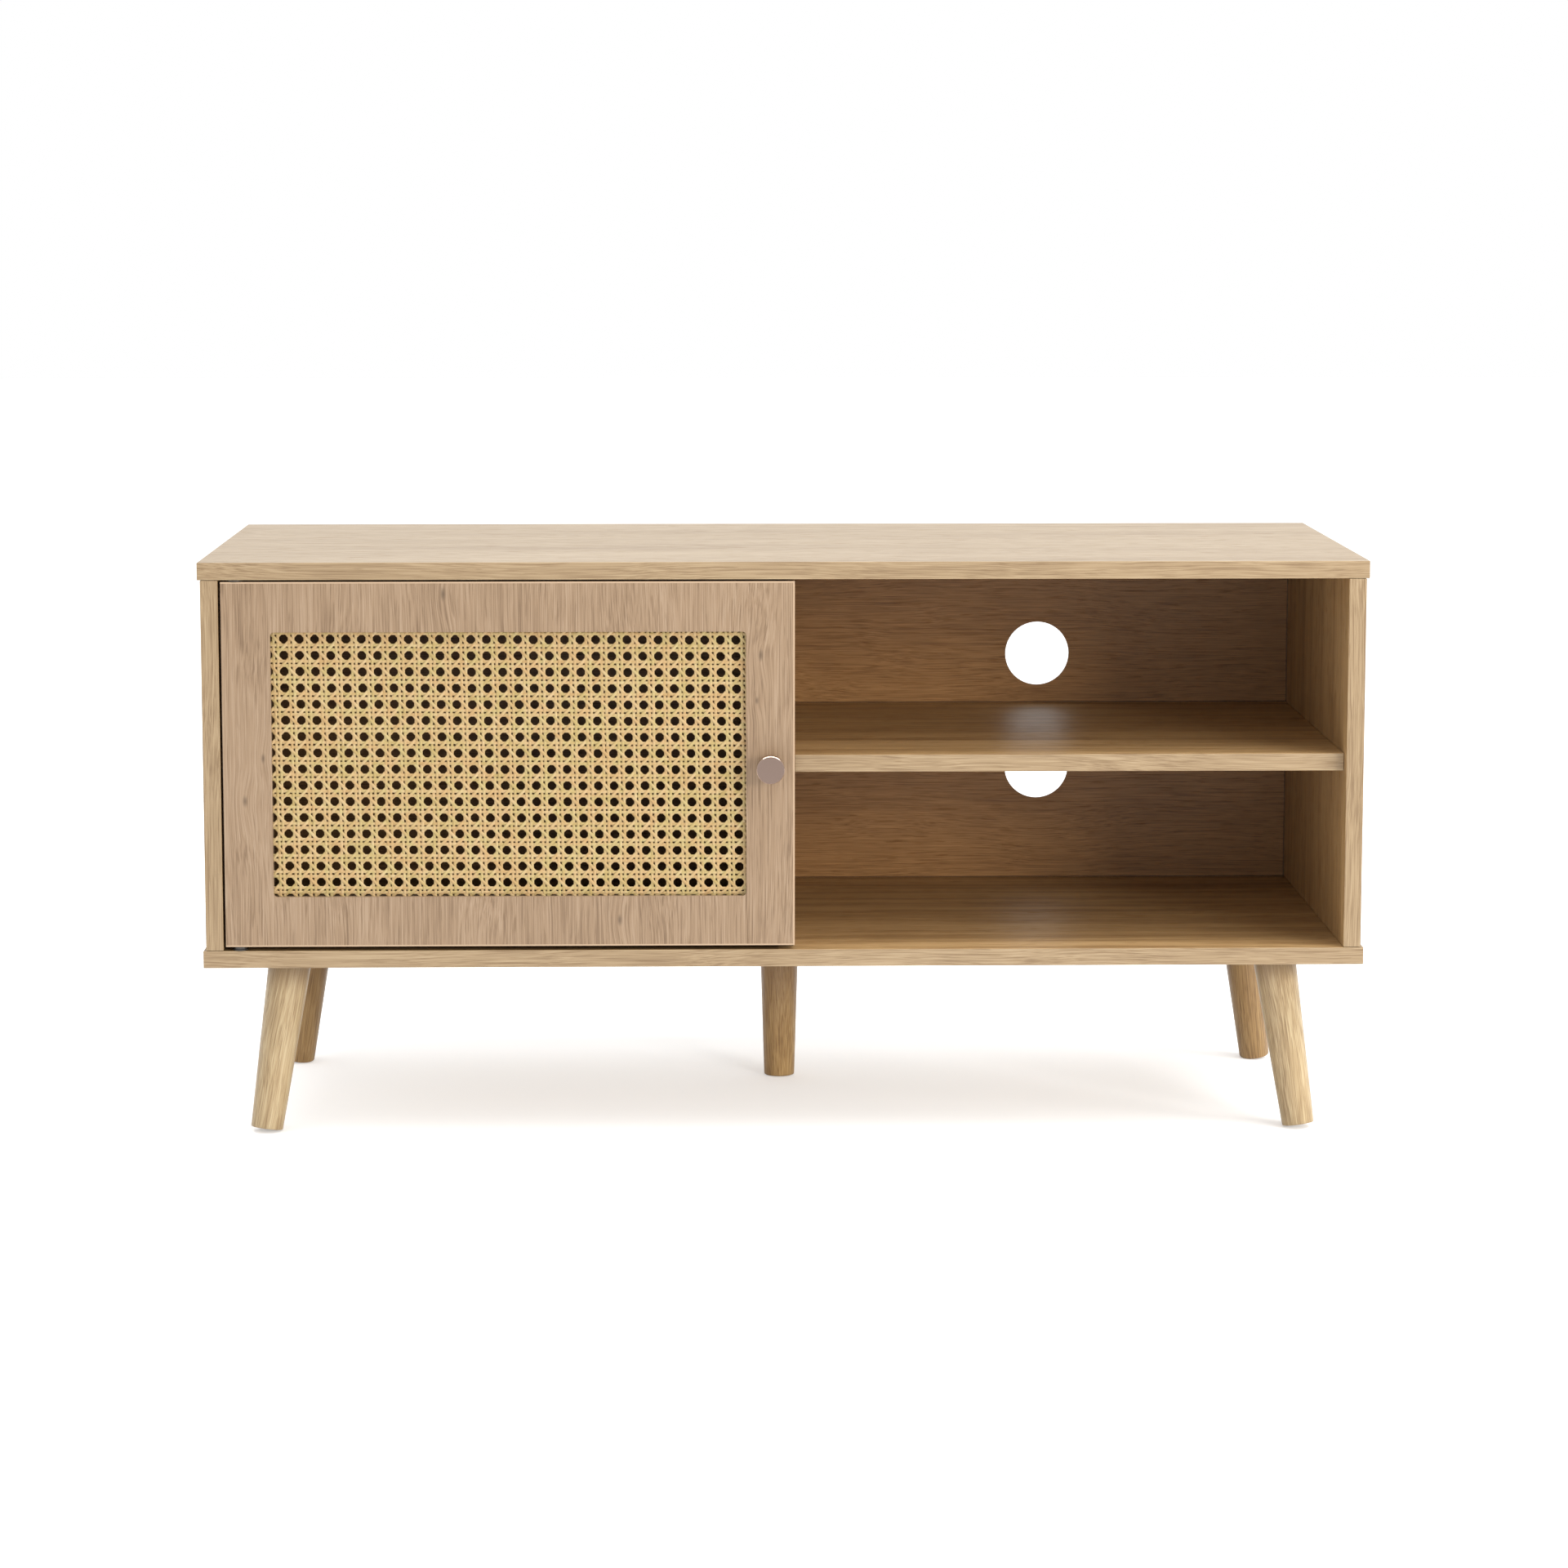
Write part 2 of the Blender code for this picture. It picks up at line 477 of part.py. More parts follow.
for label, level in (("lower", -1), ("upper", 1)):
    spot = Vector((catch_low.x, catch_front + CATCH_SIZE.y / 2, CATCH_CENTRE_Z + level * CATCH_SCREW_SPACING / 2))
    drill(catch, CATCH_SCREW_RADIUS + CLEARANCE, spot, (1, 0, 0), CATCH_SIZE.x + MM)
    drill(divider, CATCH_SCREW_RADIUS + CLEARANCE, (DIVIDER_LEFT, spot.y, spot.z), (1, 0, 0),
          CATCH_SCREW_IN_DIVIDER)
    pan_screw("catch_screw_" + label, 3.2 * MM, CATCH_SCREW_RADIUS, CATCH_SCREW_LENGTH,
              spot - Vector((CLEARANCE, 0, 0)), (1, 0, 0))

strike_low = Vector((catch_middle - STRIKE_SIZE.x / 2, DOOR_BACK + CLEARANCE,
                     CATCH_CENTRE_Z + STRIKE_ABOVE_CATCH - STRIKE_SIZE.z))
strike = block("strike_plate", strike_low, strike_low + STRIKE_SIZE, STEEL, bevel=0.3 * MM, segments=1)
strike_spot = Vector((catch_middle, strike_low.y + STRIKE_SIZE.y, strike_low.z + STRIKE_SCREW_FROM_END))
drill(strike, STRIKE_SCREW_RADIUS + CLEARANCE, strike_spot, (0, -1, 0), STRIKE_SIZE.y + MM)
drill(door_frame, STRIKE_SCREW_RADIUS + CLEARANCE, (catch_middle, DOOR_BACK, strike_spot.z), (0, -1, 0),
      STRIKE_SCREW_LENGTH)
strike_screw = pan_screw("strike_screw", 2.8 * MM, STRIKE_SCREW_RADIUS, STRIKE_SCREW_LENGTH,
                         strike_spot + Vector((0, CLEARANCE, 0)), (0, -1, 0))
door_pieces += [strike, strike_screw]

for label, level in (("lower", DOOR_BOTTOM + BUMPER_FROM_END), ("upper", DOOR_TOP - BUMPER_FROM_END)):
    dome = BUMPER_THICKNESS * 0.6
    turned("door_bumper_" + label,
           [(0, BUMPER_THICKNESS), (BUMPER_RADIUS * 0.6, BUMPER_THICKNESS), (BUMPER_RADIUS * 0.9, dome),
            (BUMPER_RADIUS, 0), (0, 0)],
           RUBBER, (DIVIDER_CENTRE, FRONT + DIVIDER_RECESS - CLEARANCE, level), (0, -1, 0), COARSE)

# ---- everything that swings hangs on the hinge axis ---------------------------------------------------
hinge_axis = bpy.data.objects.new("door_hinge_axis", None)
hinge_axis.location = (PIVOT_X, PIVOT_Y, DOOR_MIDDLE)
parts.objects.link(hinge_axis)
for piece in door_pieces:
    piece.parent = hinge_axis
    piece.matrix_parent_inverse = Matrix.Translation(hinge_axis.location).inverted()


# ==== legs =======================================================================================
def foot_reach(outline, lean):
    """How far the lowest edge of a leaning leg lies below the centre of its foot."""
    return -min(height * cos(lean) - radius * sin(lean) for radius, height in outline)


def leg_outline(length):
    """Tapered leg with eased edges and the bolt's bore in its top."""
    outline = [(0, length - LEG_BORE_DEPTH), (BOLT_RADIUS + CLEARANCE, length - LEG_BORE_DEPTH),
               (BOLT_RADIUS + CLEARANCE, length), (LEG_TOP_RADIUS - LEG_EDGE, length),
               (LEG_TOP_RADIUS, length - LEG_EDGE)]
    for step in range(3):
        turn = step / 2 * pi / 2
        outline.append((LEG_FOOT_RADIUS - LEG_EDGE * (1 - cos(turn)), LEG_EDGE * (1 - sin(turn))))
    outline.append((0, 0))
    return outline


def leg_plate(name, centre, axis, drop):
    """Pressed plate under the panel, with a round seat cut square to the leg's axis."""
    plate_top = UNDERSIDE - CLEARANCE
    half = PLATE_SIZE / 2
    plate = block(name, (centre.x - half, centre.y - half, plate_top - PLATE_THICKNESS),
                  (centre.x + half, centre.y + half, plate_top), BLACK_STEEL, bevel=0)
    if drop:
        seat = rod_mesh(SEAT_RADIUS, SEAT_STOCK, COARSE)
        bmesh.ops.translate(seat, vec=(0, 0, -SEAT_STOCK), verts=seat.verts)
        level = Vector((0, 0, -PLATE_THICKNESS / 2 - drop))
        sliced = bmesh.ops.bisect_plane(seat, geom=seat.verts[:] + seat.edges[:] + seat.faces[:],
                                        plane_co=level, plane_no=-axis, clear_outer=True)
        rim = [item for item in sliced["geom_cut"] if isinstance(item, bmesh.types.BMEdge)]
        bmesh.ops.contextual_create(seat, geom=rim)
        bmesh.ops.recalc_face_normals(seat, faces=seat.faces)
        seat_piece = place(name + "_seat", seat, None,
                           (centre.x, centre.y, plate_top - PLATE_THICKNESS / 2), group=cutters)
        joined = plate.modifiers.new("seat", "BOOLEAN")
        joined.operation = "UNION"
        joined.solver = "EXACT"
        joined.object = seat_piece
    drill(plate, BOLT_RADIUS + CLEARANCE, centre + axis * 5 * MM, -axis, SEAT_STOCK)
    for hand_x in (-1, 1):
        for hand_y in (-1, 1):
            spot = (centre.x + hand_x * PLATE_HOLE_OFFSET, centre.y + hand_y * PLATE_HOLE_OFFSET, plate_top)
            drill(plate, PLATE_HOLE_RADIUS, spot, (0, 0, -1), PLATE_THICKNESS + MM)
    return plate


def leg(label, across, along, hand_x, hand_y):
    """One leg with its plate and hanger bolt. The hands are 0 for a leg that stands straight."""
    axis = Vector((-hand_x * tan(SPLAY), -hand_y * tan(SPLAY), 1)).normalized()
    lean = axis.angle(Vector((0, 0, 1))) if hand_x else 0
    drop = SEAT_DROP if hand_x else 0
    plate_bottom = UNDERSIDE - CLEARANCE - PLATE_THICKNESS
    under_seat = plate_bottom - drop - CLEARANCE
    centre = Vector((across, along, UNDERSIDE))
    leg_top = centre + axis * ((under_seat - UNDERSIDE) / axis.z)

    length = (leg_top.z - foot_reach(leg_outline(GROUND_CLEARANCE), lean)) / axis.z
    foot = leg_top - axis * length
    turned("leg_" + label, leg_outline(length), LEG_OAK, foot, axis, MEDIUM)

    leg_plate("leg_plate_" + label, centre, axis, drop)
    bolt_foot = leg_top - axis * BOLT_IN_LEG
    bolt_length = (UNDERSIDE + BOLT_ABOVE_PLATE - bolt_foot.z) / axis.z
    turned("hanger_bolt_" + label, bolt_outline(BOLT_RADIUS, bolt_length, MM), STEEL, bolt_foot, axis, HIDDEN)
    drill(bottom_panel, BOLT_RECESS_RADIUS, centre, (0, 0, 1), BOLT_RECESS_DEPTH)


leg_x = WIDTH / 2 - LEG_INSET_X
leg_y = DEPTH / 2 - LEG_INSET_Y
for end, hand_y in (("front", -1), ("rear", 1)):
    for side, hand_x in (("left", -1), ("right", 1)):
        leg(end + "_" + side, hand_x * leg_x, MIDDLE + hand_y * leg_y, hand_x, hand_y)
leg("centre", 0, REAR - CENTRE_LEG_FROM_REAR, 0, 0)

for piece in parts.objects:
    if piece.type == "MESH":
        smooth(piece)
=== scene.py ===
"""Looks of the TV stand: oak-look boards, woven cane, turned legs, knob and hardware."""
import random
from math import cos, pi, radians, sin, tan, tanh

import bpy
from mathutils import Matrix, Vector


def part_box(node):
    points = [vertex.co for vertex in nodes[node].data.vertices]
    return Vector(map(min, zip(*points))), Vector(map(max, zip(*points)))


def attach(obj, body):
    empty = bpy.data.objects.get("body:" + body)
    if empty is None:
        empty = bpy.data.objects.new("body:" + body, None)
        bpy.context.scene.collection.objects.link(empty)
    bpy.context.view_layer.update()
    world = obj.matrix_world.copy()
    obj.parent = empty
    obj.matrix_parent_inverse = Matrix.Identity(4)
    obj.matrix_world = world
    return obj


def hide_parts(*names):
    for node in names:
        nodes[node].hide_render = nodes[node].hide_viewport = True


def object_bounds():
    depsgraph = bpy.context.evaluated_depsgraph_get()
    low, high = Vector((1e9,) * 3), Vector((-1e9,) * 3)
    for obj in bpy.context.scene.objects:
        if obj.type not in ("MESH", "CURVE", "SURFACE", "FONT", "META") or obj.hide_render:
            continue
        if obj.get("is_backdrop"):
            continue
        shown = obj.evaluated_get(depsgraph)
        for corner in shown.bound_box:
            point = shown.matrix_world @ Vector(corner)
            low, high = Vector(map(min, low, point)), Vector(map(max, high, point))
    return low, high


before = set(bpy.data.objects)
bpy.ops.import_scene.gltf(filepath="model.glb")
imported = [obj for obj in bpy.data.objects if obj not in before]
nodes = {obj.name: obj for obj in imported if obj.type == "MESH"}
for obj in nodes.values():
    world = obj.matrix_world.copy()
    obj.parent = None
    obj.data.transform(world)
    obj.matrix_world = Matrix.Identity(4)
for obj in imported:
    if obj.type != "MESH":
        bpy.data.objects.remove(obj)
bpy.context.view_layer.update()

MM = 0.001


def paint(name, finish):
    """Give a node of the CAD model this one material."""
    nodes[name].data.materials.clear()
    nodes[name].data.materials.append(finish)


def scaled(colour, factor):
    return tuple(value * factor for value in colour)


def tinted(colour, tint):
    return tuple(value * part for value, part in zip(colour, tint))


# ==== shader helpers =============================================================================
MIX_SOCKETS = {"FLOAT": (2, 3, 0), "VECTOR": (4, 5, 1), "RGBA": (6, 7, 2)}      # first, second, result


def add(tree, kind, inputs=None, **settings):
    """A new shader node; `inputs` holds values or the sockets to link, by input name or number."""
    made = tree.nodes.new("ShaderNode" + kind)
    for key, value in settings.items():
        setattr(made, key, value)
    for key, value in (inputs or {}).items():
        if isinstance(value, bpy.types.NodeSocket):
            tree.links.new(value, made.inputs[key])
        else:
            made.inputs[key].default_value = value
    return made


def calc(tree, operation, *values, clamp=False):
    made = add(tree, "Math", dict(enumerate(values)), operation=operation)
    made.use_clamp = clamp
    return made.outputs[0]


def vector(tree, operation, *values):
    return add(tree, "VectorMath", dict(enumerate(values)), operation=operation).outputs[0]


def length(tree, place):
    return add(tree, "VectorMath", {0: place}, operation="LENGTH").outputs["Value"]


def component(tree, place, axis):
    return add(tree, "SeparateXYZ", {0: place}).outputs[axis]


def rest_place(tree):
    """The shaded point's place in the shared frame, as it is when nothing has moved."""
    return add(tree, "TexCoord").outputs["Object"]


def normal_along(tree, axis):
    return component(tree, add(tree, "TexCoord").outputs["Normal"], axis)


def noise(tree, place, scale, detail=2.0, roughness=0.5, stretch=None):
    """Noise in 0..1 at `place`, which is stretched by a vector first."""
    if stretch:
        place = vector(tree, "MULTIPLY", place, stretch)
    made = add(tree, "TexNoise", {"Vector": place, "Scale": scale, "Detail": detail, "Roughness": roughness})
    return made.outputs["Fac"]


def noise_along(tree, distance, detail, roughness=0.5):
    """Noise in 0..1 that depends on one number only."""
    made = add(tree, "TexNoise", {"W": distance, "Scale": 1.0, "Detail": detail, "Roughness": roughness},
               noise_dimensions="1D")
    return made.outputs["Fac"]


def remap(tree, value, low, high, to_low=0.0, to_high=1.0):
    made = add(tree, "MapRange", {"Value": value, "From Min": low, "From Max": high,
                                  "To Min": to_low, "To Max": to_high}, interpolation_type="SMOOTHSTEP")
    return made.outputs["Result"]


def mix(tree, kind, factor, first, second, mode="MIX"):
    """Mix of two numbers, vectors or colours with alpha."""
    first_input, second_input, result = MIX_SOCKETS[kind]
    made = add(tree, "Mix", {0: factor, first_input: first, second_input: second},
               data_type=kind, blend_type=mode)
    return made.outputs[result]


def blend_colours(tree, factor, first, second, mode="MIX"):
    """Mix of two colours, each of them a socket or three numbers."""
    first, second = ((*colour, 1) if isinstance(colour, tuple) else colour for colour in (first, second))
    return mix(tree, "RGBA", factor, first, second, mode)


def ramp(tree, factor, *stops):
    made = add(tree, "ValToRGB", {"Fac": factor})
    elements = made.color_ramp.elements
    while len(elements) < len(stops):
        elements.new(0.5)
    for element, (position, colour) in zip(elements, stops):
        element.position = position
        element.color = (*colour, 1)
    return made.outputs["Color"]


def bump(tree, height, distance, strength):
    made = add(tree, "Bump", {"Height": height, "Distance": distance, "Strength": strength})
    return made.outputs["Normal"]


def new_material(name):
    made = bpy.data.materials.new(name)
    made.use_nodes = True
    tree = made.node_tree
    return made, tree, tree.nodes["Principled BSDF"]


def dress(tree, shader, colour, roughness, normal):
    tree.links.new(colour, shader.inputs["Base Color"])
    tree.links.new(roughness, shader.inputs["Roughness"])
    tree.links.new(normal, shader.inputs["Normal"])


# ==== wood =======================================================================================
SWAY = 30 * MM                # how far the grain wanders from its line
QUIVER = 1.8 * MM             # and how far it trembles on a small scale
RING_STRETCH = 0.055          # the growth rings are very long: a step along the grain counts this little
RINGS_PER_METRE = 330.0
RING_PART = 0.12              # parts of the figure: rings, streaks and broad tone make 1
STREAK_PART = 0.72
BROAD_PART = 0.16
PORE_DEPTH = 0.6              # how far a pore turns the colour to the dark tone
STREAK_RELIEF = -0.25         # dark streaks lie lower, as part of the depth of a pore


def grain_noise(tree, place, along, across, detail, roughness=0.5):
    """Noise with `along` features to the metre along the grain and `across` features across it."""
    return noise(tree, place, 1.0, detail, roughness, (along, across, across))


def grain_group():
    """The oak figure, which every board shares; X of the place that goes in runs along the grain.

    Rings, fine streaks, pores, broad tone and bands come out separately, all of them in 0..1.
    """
    group = bpy.data.node_groups.new("oak_grain", "ShaderNodeTree")
    group.interface.new_socket("Vector", in_out="INPUT", socket_type="NodeSocketVector")
    place = group.nodes.new("NodeGroupInput").outputs["Vector"]

    sway = grain_noise(group, place, along=2.6, across=8.0, detail=2.0)
    quiver = grain_noise(group, place, along=11.0, across=45.0, detail=2.0)
    shift = calc(group, "ADD", calc(group, "MULTIPLY", calc(group, "SUBTRACT", sway, 0.5), SWAY),
                 calc(group, "MULTIPLY", calc(group, "SUBTRACT", quiver, 0.5), QUIVER))
    bent = vector(group, "ADD", place, add(group, "CombineXYZ", {"Y": shift, "Z": shift}).outputs[0])

    radius = length(group, vector(group, "MULTIPLY", bent, (RING_STRETCH, 1.0, 1.0)))
    rings = noise_along(group, calc(group, "MULTIPLY", radius, RINGS_PER_METRE), detail=2.0, roughness=0.6)
    hairs = grain_noise(group, bent, along=16.0, across=1200.0, detail=1.5)
    lines = grain_noise(group, bent, along=8.0, across=780.0, detail=3.0, roughness=0.7)
    streaks = calc(group, "MULTIPLY_ADD", hairs, 0.5, calc(group, "MULTIPLY", lines, 0.5))
    dashes = grain_noise(group, bent, along=38.0, across=760.0, detail=1.0)
    crowding = remap(group, rings, 0.35, 0.62, 0.35, 1.0)
    pores = calc(group, "MULTIPLY", remap(group, dashes, 0.57, 0.69), crowding)
    broad = grain_noise(group, bent, along=2.0, across=26.0, detail=3.0, roughness=0.6)
    bands = grain_noise(group, bent, along=1.6, across=70.0, detail=2.0, roughness=0.6)

    figure = {"Rings": rings, "Streaks": streaks, "Pores": pores, "Broad": broad, "Bands": bands}
    for name in figure:
        group.interface.new_socket(name, in_out="OUTPUT", socket_type="NodeSocketFloat")
    outside = group.nodes.new("NodeGroupOutput")
    for name, value in figure.items():
        group.links.new(value, outside.inputs[name])
    return group


GRAIN = grain_group()
AXES = {"X": ("X", "Y", "Z"), "Y": ("Y", "Z", "X"), "Z": ("Z", "X", "Y")}


def along_axis(tree, place, axis):
    """Reorder a place so that its first number runs along `axis`."""
    split = add(tree, "SeparateXYZ", {0: place}).outputs
    first, second, third = AXES[axis]
    return add(tree, "CombineXYZ", {0: split[first], 1: split[second], 2: split[third]}).outputs[0]


def wood_colour(tree, place, tones, contrast, fineness=1.0, banding=0.0):
    """Colour, relief and pores of oak at `place`; tones are dark, middle and pale.

    A `fineness` above 1 makes the figure smaller, and `banding` is the weight of its broad bands.
    """
    dark, middle, pale = tones
    grain = tree.nodes.new("ShaderNodeGroup")
    grain.node_tree = GRAIN
    tree.links.new(vector(tree, "MULTIPLY", place, (fineness,) * 3), grain.inputs["Vector"])
    rings, streaks, pores, broad, bands = grain.outputs
    figure = calc(tree, "ADD", calc(tree, "MULTIPLY", rings, RING_PART),
                  calc(tree, "MULTIPLY", streaks, STREAK_PART))
    figure = calc(tree, "ADD", figure, calc(tree, "MULTIPLY", broad, BROAD_PART))
    figure = calc(tree, "MULTIPLY_ADD", calc(tree, "SUBTRACT", bands, 0.5), banding, figure)
    spread = calc(tree, "MULTIPLY_ADD", calc(tree, "SUBTRACT", figure, 0.5), contrast, 0.5, clamp=True)
    colour = ramp(tree, spread, (0.0, pale), (0.5, middle), (1.0, dark))
    colour = blend_colours(tree, calc(tree, "MULTIPLY", pores, PORE_DEPTH), colour, dark)
    relief = calc(tree, "SUBTRACT", calc(tree, "MULTIPLY", streaks, STREAK_RELIEF), pores)
    return colour, relief, pores


# ---- boards --------------------------------------------------------------------------------------
SQUARE = 0.7                  # a face is square to an axis when its normal has more than this along it
BOARD_CONTRAST = 4.4
BAND_THICKNESS = 1.4 * MM     # of the door's edge band, seen on end
BAND_GAIN_AND_HIGHLIGHT = 1.3               # its end is this much paler than the palest streak: the band's own paler tone with a painted highlight on its rounded edge
KNOT_STRETCH = 0.42           # knots are longer along the grain
KNOT_REACH = 5                # the grain bends round a knot within this many times its size
KNOT_PUSH = 1.2               # and is pushed aside by this many
OAK_TONES = ((0.183, 0.115, 0.057), (0.279, 0.193, 0.104), (0.347, 0.252, 0.146))
DOOR_TONES = ((0.151, 0.092, 0.049), (0.25, 0.164, 0.095), (0.308, 0.216, 0.138))
# Painted sheen: the top's broad faces are tinted paler and cooler, standing in for the grazing reflection of
# the bright surroundings.
TOP_SHEEN_TINT = (1.09, 1.19, 1.42)
SIDE_TINT = (1.06, 1.07, 1.10)
# Painted bounce light: faces inside the bays get a warmer tint than the faces outside.
BAY_BOUNCE_TINT = (1.31, 1.17, 0.93)
CLOSED_BAY_SHADE = 0.6              # painted shade: tone of the bay behind the door, as part of the open bay's
CHIPS_PER_METRE = (420.0, 420.0, 900.0)
CHIP_TONES = ((0.0, (0.22, 0.14, 0.075)), (0.55, (0.42, 0.29, 0.17)), (1.0, (0.60, 0.46, 0.30)))


def end_mask(tree, axis):
    """1 on the faces that are square to `axis`."""
    return calc(tree, "GREATER_THAN", calc(tree, "ABSOLUTE", normal_along(tree, axis)), SQUARE)


def inside_mask(tree, place):
    """1 on the faces that look into the bays, ahead of the back panel."""
    low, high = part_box("back_panel")
    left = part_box("side_panel_left")[0].x
    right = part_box("side_panel_right")[1].x
    margin = 10 * MM          # leaves out the outer faces of the sides
    split = add(tree, "SeparateXYZ", {0: place}).outputs
    wide = calc(tree, "COMPARE", split["X"], (left + right) / 2, (right - left) / 2 - margin)
    tall = calc(tree, "COMPARE", split["Z"], (low.z + high.z) / 2, (high.z - low.z) / 2 + MM)
    ahead = calc(tree, "LESS_THAN", split["Y"], low.y + MM)
    return calc(tree, "MULTIPLY", calc(tree, "MULTIPLY", wide, tall), ahead)


def closed_bay_mask(tree, place):
    """1 in the bay behind the door, where the painted shade is deeper."""
    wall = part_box("divider_panel")[0].x + MM
    return calc(tree, "LESS_THAN", component(tree, place, "X"), wall)


def band_mask(tree, place, low, high):
    """1 along the top, the bottom and the free edge of the door's front."""
    split = add(tree, "SeparateXYZ", {0: place}).outputs
    free = calc(tree, "GREATER_THAN", split["X"], high.x - BAND_THICKNESS)
    upper = calc(tree, "GREATER_THAN", split["Z"], high.z - BAND_THICKNESS)
    lower = calc(tree, "LESS_THAN", split["Z"], low.z + BAND_THICKNESS)
    return calc(tree, "MAXIMUM", calc(tree, "MAXIMUM", free, upper), lower)


def bend_round_knots(tree, place, grain_place, knots):
    """Push the grain aside round each knot; returns the new grain place and a mask of the knots."""
    mask = 0.0
    for x, z, size in knots:
        delta = vector(tree, "SUBTRACT", place, (x, 0, z))
        distance = length(tree, vector(tree, "MULTIPLY", delta, (1.0, 0.0, KNOT_STRETCH)))
        near = remap(tree, distance, 0.0, size * KNOT_REACH, 1.0, 0.0)
        push = calc(tree, "MULTIPLY", near, size * KNOT_PUSH)
        grain_place = vector(tree, "ADD", grain_place, add(tree, "CombineXYZ", {"Y": push}).outputs[0])
        mask = calc(tree, "MAXIMUM", mask, remap(tree, distance, 0.0, size, 1.0, 0.0))
    return grain_place, mask


def raw_chipboard(tree, place, colour, relief, roughness):
    """The rear edges carry no band, so the chips of the core show there."""
    rear = calc(tree, "GREATER_THAN", normal_along(tree, "Y"), SQUARE)
    crowded = vector(tree, "MULTIPLY", place, CHIPS_PER_METRE)
    cells = add(tree, "TexVoronoi", {"Vector": crowded, "Scale": 1.0})
    chip = component(tree, cells.outputs["Color"], "X")
    colour = blend_colours(tree, rear, colour, ramp(tree, chip, *CHIP_TONES))
    relief = mix(tree, "FLOAT", rear, relief, calc(tree, "MULTIPLY", chip, 3.0))
    roughness = mix(tree, "FLOAT", rear, roughness, 0.85)
    return colour, relief, roughness


def board_material(name, axis, edge_axis, tones, seed, banding=0.0, outer_tint_and_sheen=None, raw_rear=False,
                   knots=(), band=None):
    """Printed oak decor, its grain along `axis`; on the ends it runs along `edge_axis`.

    `banding` and the outer tint, with the top's painted sheen, act on the broad faces only; inside the bays a
    tint of painted bounce light and painted shade takes over.
    `knots` are (x, z, size), and `band` is a box whose front outline shows the edge band on end, paler with a
    painted highlight.
    """
    made, tree, shader = new_material(name)
    place = rest_place(tree)
    ends = end_mask(tree, axis)
    grain_place = mix(tree, "VECTOR", ends, along_axis(tree, place, axis),
                      along_axis(tree, place, edge_axis))
    shift = Vector((seed * 3.1, seed * 1.7, 0.045 + seed * 0.9))
    shift -= Vector([round(value) for value in shift])
    grain_place = vector(tree, "ADD", grain_place, shift)
    if knots:
        grain_place, knot_mask = bend_round_knots(tree, place, grain_place, knots)

    front = calc(tree, "LESS_THAN", normal_along(tree, "Y"), -SQUARE)
    broad_face = calc(tree, "SUBTRACT", 1.0, calc(tree, "MAXIMUM", front, ends))
    colour, relief, pores = wood_colour(tree, grain_place, tones, BOARD_CONTRAST,
                                        banding=calc(tree, "MULTIPLY", broad_face, banding))
    if outer_tint_and_sheen:
        # Painted bounce light and painted shade on the faces inside the bays, deeper in the bay behind the
        # door.
        bay_bounce_and_shade = blend_colours(tree, closed_bay_mask(tree, place), BAY_BOUNCE_TINT,
                                   scaled(BAY_BOUNCE_TINT, CLOSED_BAY_SHADE))
        tint = blend_colours(tree, inside_mask(tree, place), outer_tint_and_sheen, bay_bounce_and_shade)
        colour = blend_colours(tree, broad_face, colour, tint, "MULTIPLY")
    # The door's edge band on end: its own paler tone plus a painted highlight where its rounded edge catches
    # the light.
    if band:
        line = calc(tree, "MULTIPLY", band_mask(tree, place, *band), front)
        colour = blend_colours(tree, line, colour, scaled(tones[2], BAND_GAIN_AND_HIGHLIGHT))
    if knots:
        darkness = calc(tree, "MULTIPLY", knot_mask, 0.75)
        colour = blend_colours(tree, darkness, colour, scaled(tones[0], 0.55))
    roughness = calc(tree, "MULTIPLY_ADD", pores, 0.25, 0.42)
    if raw_rear:
        colour, relief, roughness = raw_chipboard(tree, place, colour, relief, roughness)
    dress(tree, shader, colour, roughness, bump(tree, relief, 0.08 * MM, 0.6))
    shader.inputs["IOR"].default_value = 1.5
    return made


BOARDS = (                    # name, grain axis, grain axis on its ends, seed, banding, raw rear edge
    ("top_panel", "X", "Y", 0.31, 0.14, True),
    ("bottom_panel", "X", "Y", 0.57, 0.6, True),
    ("side_panel_left", "Z", "Y", 0.83, 0.35, True),
    ("side_panel_right", "Z", "Y", 0.12, 0.35, True),
    ("divider_panel", "Z", "Y", 0.44, 0.35, False),
    ("shelf", "X", "Y", 0.71, 0.6, False),
)
for board, axis, edge_axis, seed, banding, raw_rear in BOARDS:
    outer_tint_and_sheen = TOP_SHEEN_TINT if board == "top_panel" else SIDE_TINT
    paint(board, board_material("oak_" + board, axis, edge_axis, OAK_TONES, seed, banding=banding,
                                outer_tint_and_sheen=outer_tint_and_sheen, raw_rear=raw_rear))

# Small knots on the door: x, z and size in metres.
KNOTS = ((-0.291, 0.478, 0.0035), (-0.0205, 0.425, 0.003), (-0.462, 0.300, 0.003), (-0.446, 0.337, 0.0025),
         (-0.024, 0.386, 0.002), (-0.142, 0.196, 0.003))
DOOR_OAK = board_material("oak_door", "Z", "X", DOOR_TONES, 0.27, knots=KNOTS, band=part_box("door_frame"))
for board in ("door_frame", "cane_bead_left", "cane_bead_right"):
    paint(board, DOOR_OAK)
BEAD_OAK = board_material("oak_beads", "X", "Z", DOOR_TONES, 0.64)
for board in ("cane_bead_top", "cane_bead_bottom"):
    paint(board, BEAD_OAK)


# ---- back panel ----------------------------------------------------------------------------------
# The back's oak-paper tones, made deeper and warmer than the boards' as painted shade of the bays.
BACK_TONES_AND_SHADE = ((0.209, 0.098, 0.032), (0.362, 0.185, 0.065), (0.465, 0.248, 0.096))
BACK_SHADE_NEAR_DIVIDER = 1.1       # painted shade: brightness of the open bay's back beside the divider
BACK_SHADE_NEAR_SIDE = 0.78         # and beside the right side panel
SEAM_SHADOW = 0.9 * MM               # painted shadow line where the back meets the boards in front of it
SEAM_SHADOW_DEPTH = -0.6


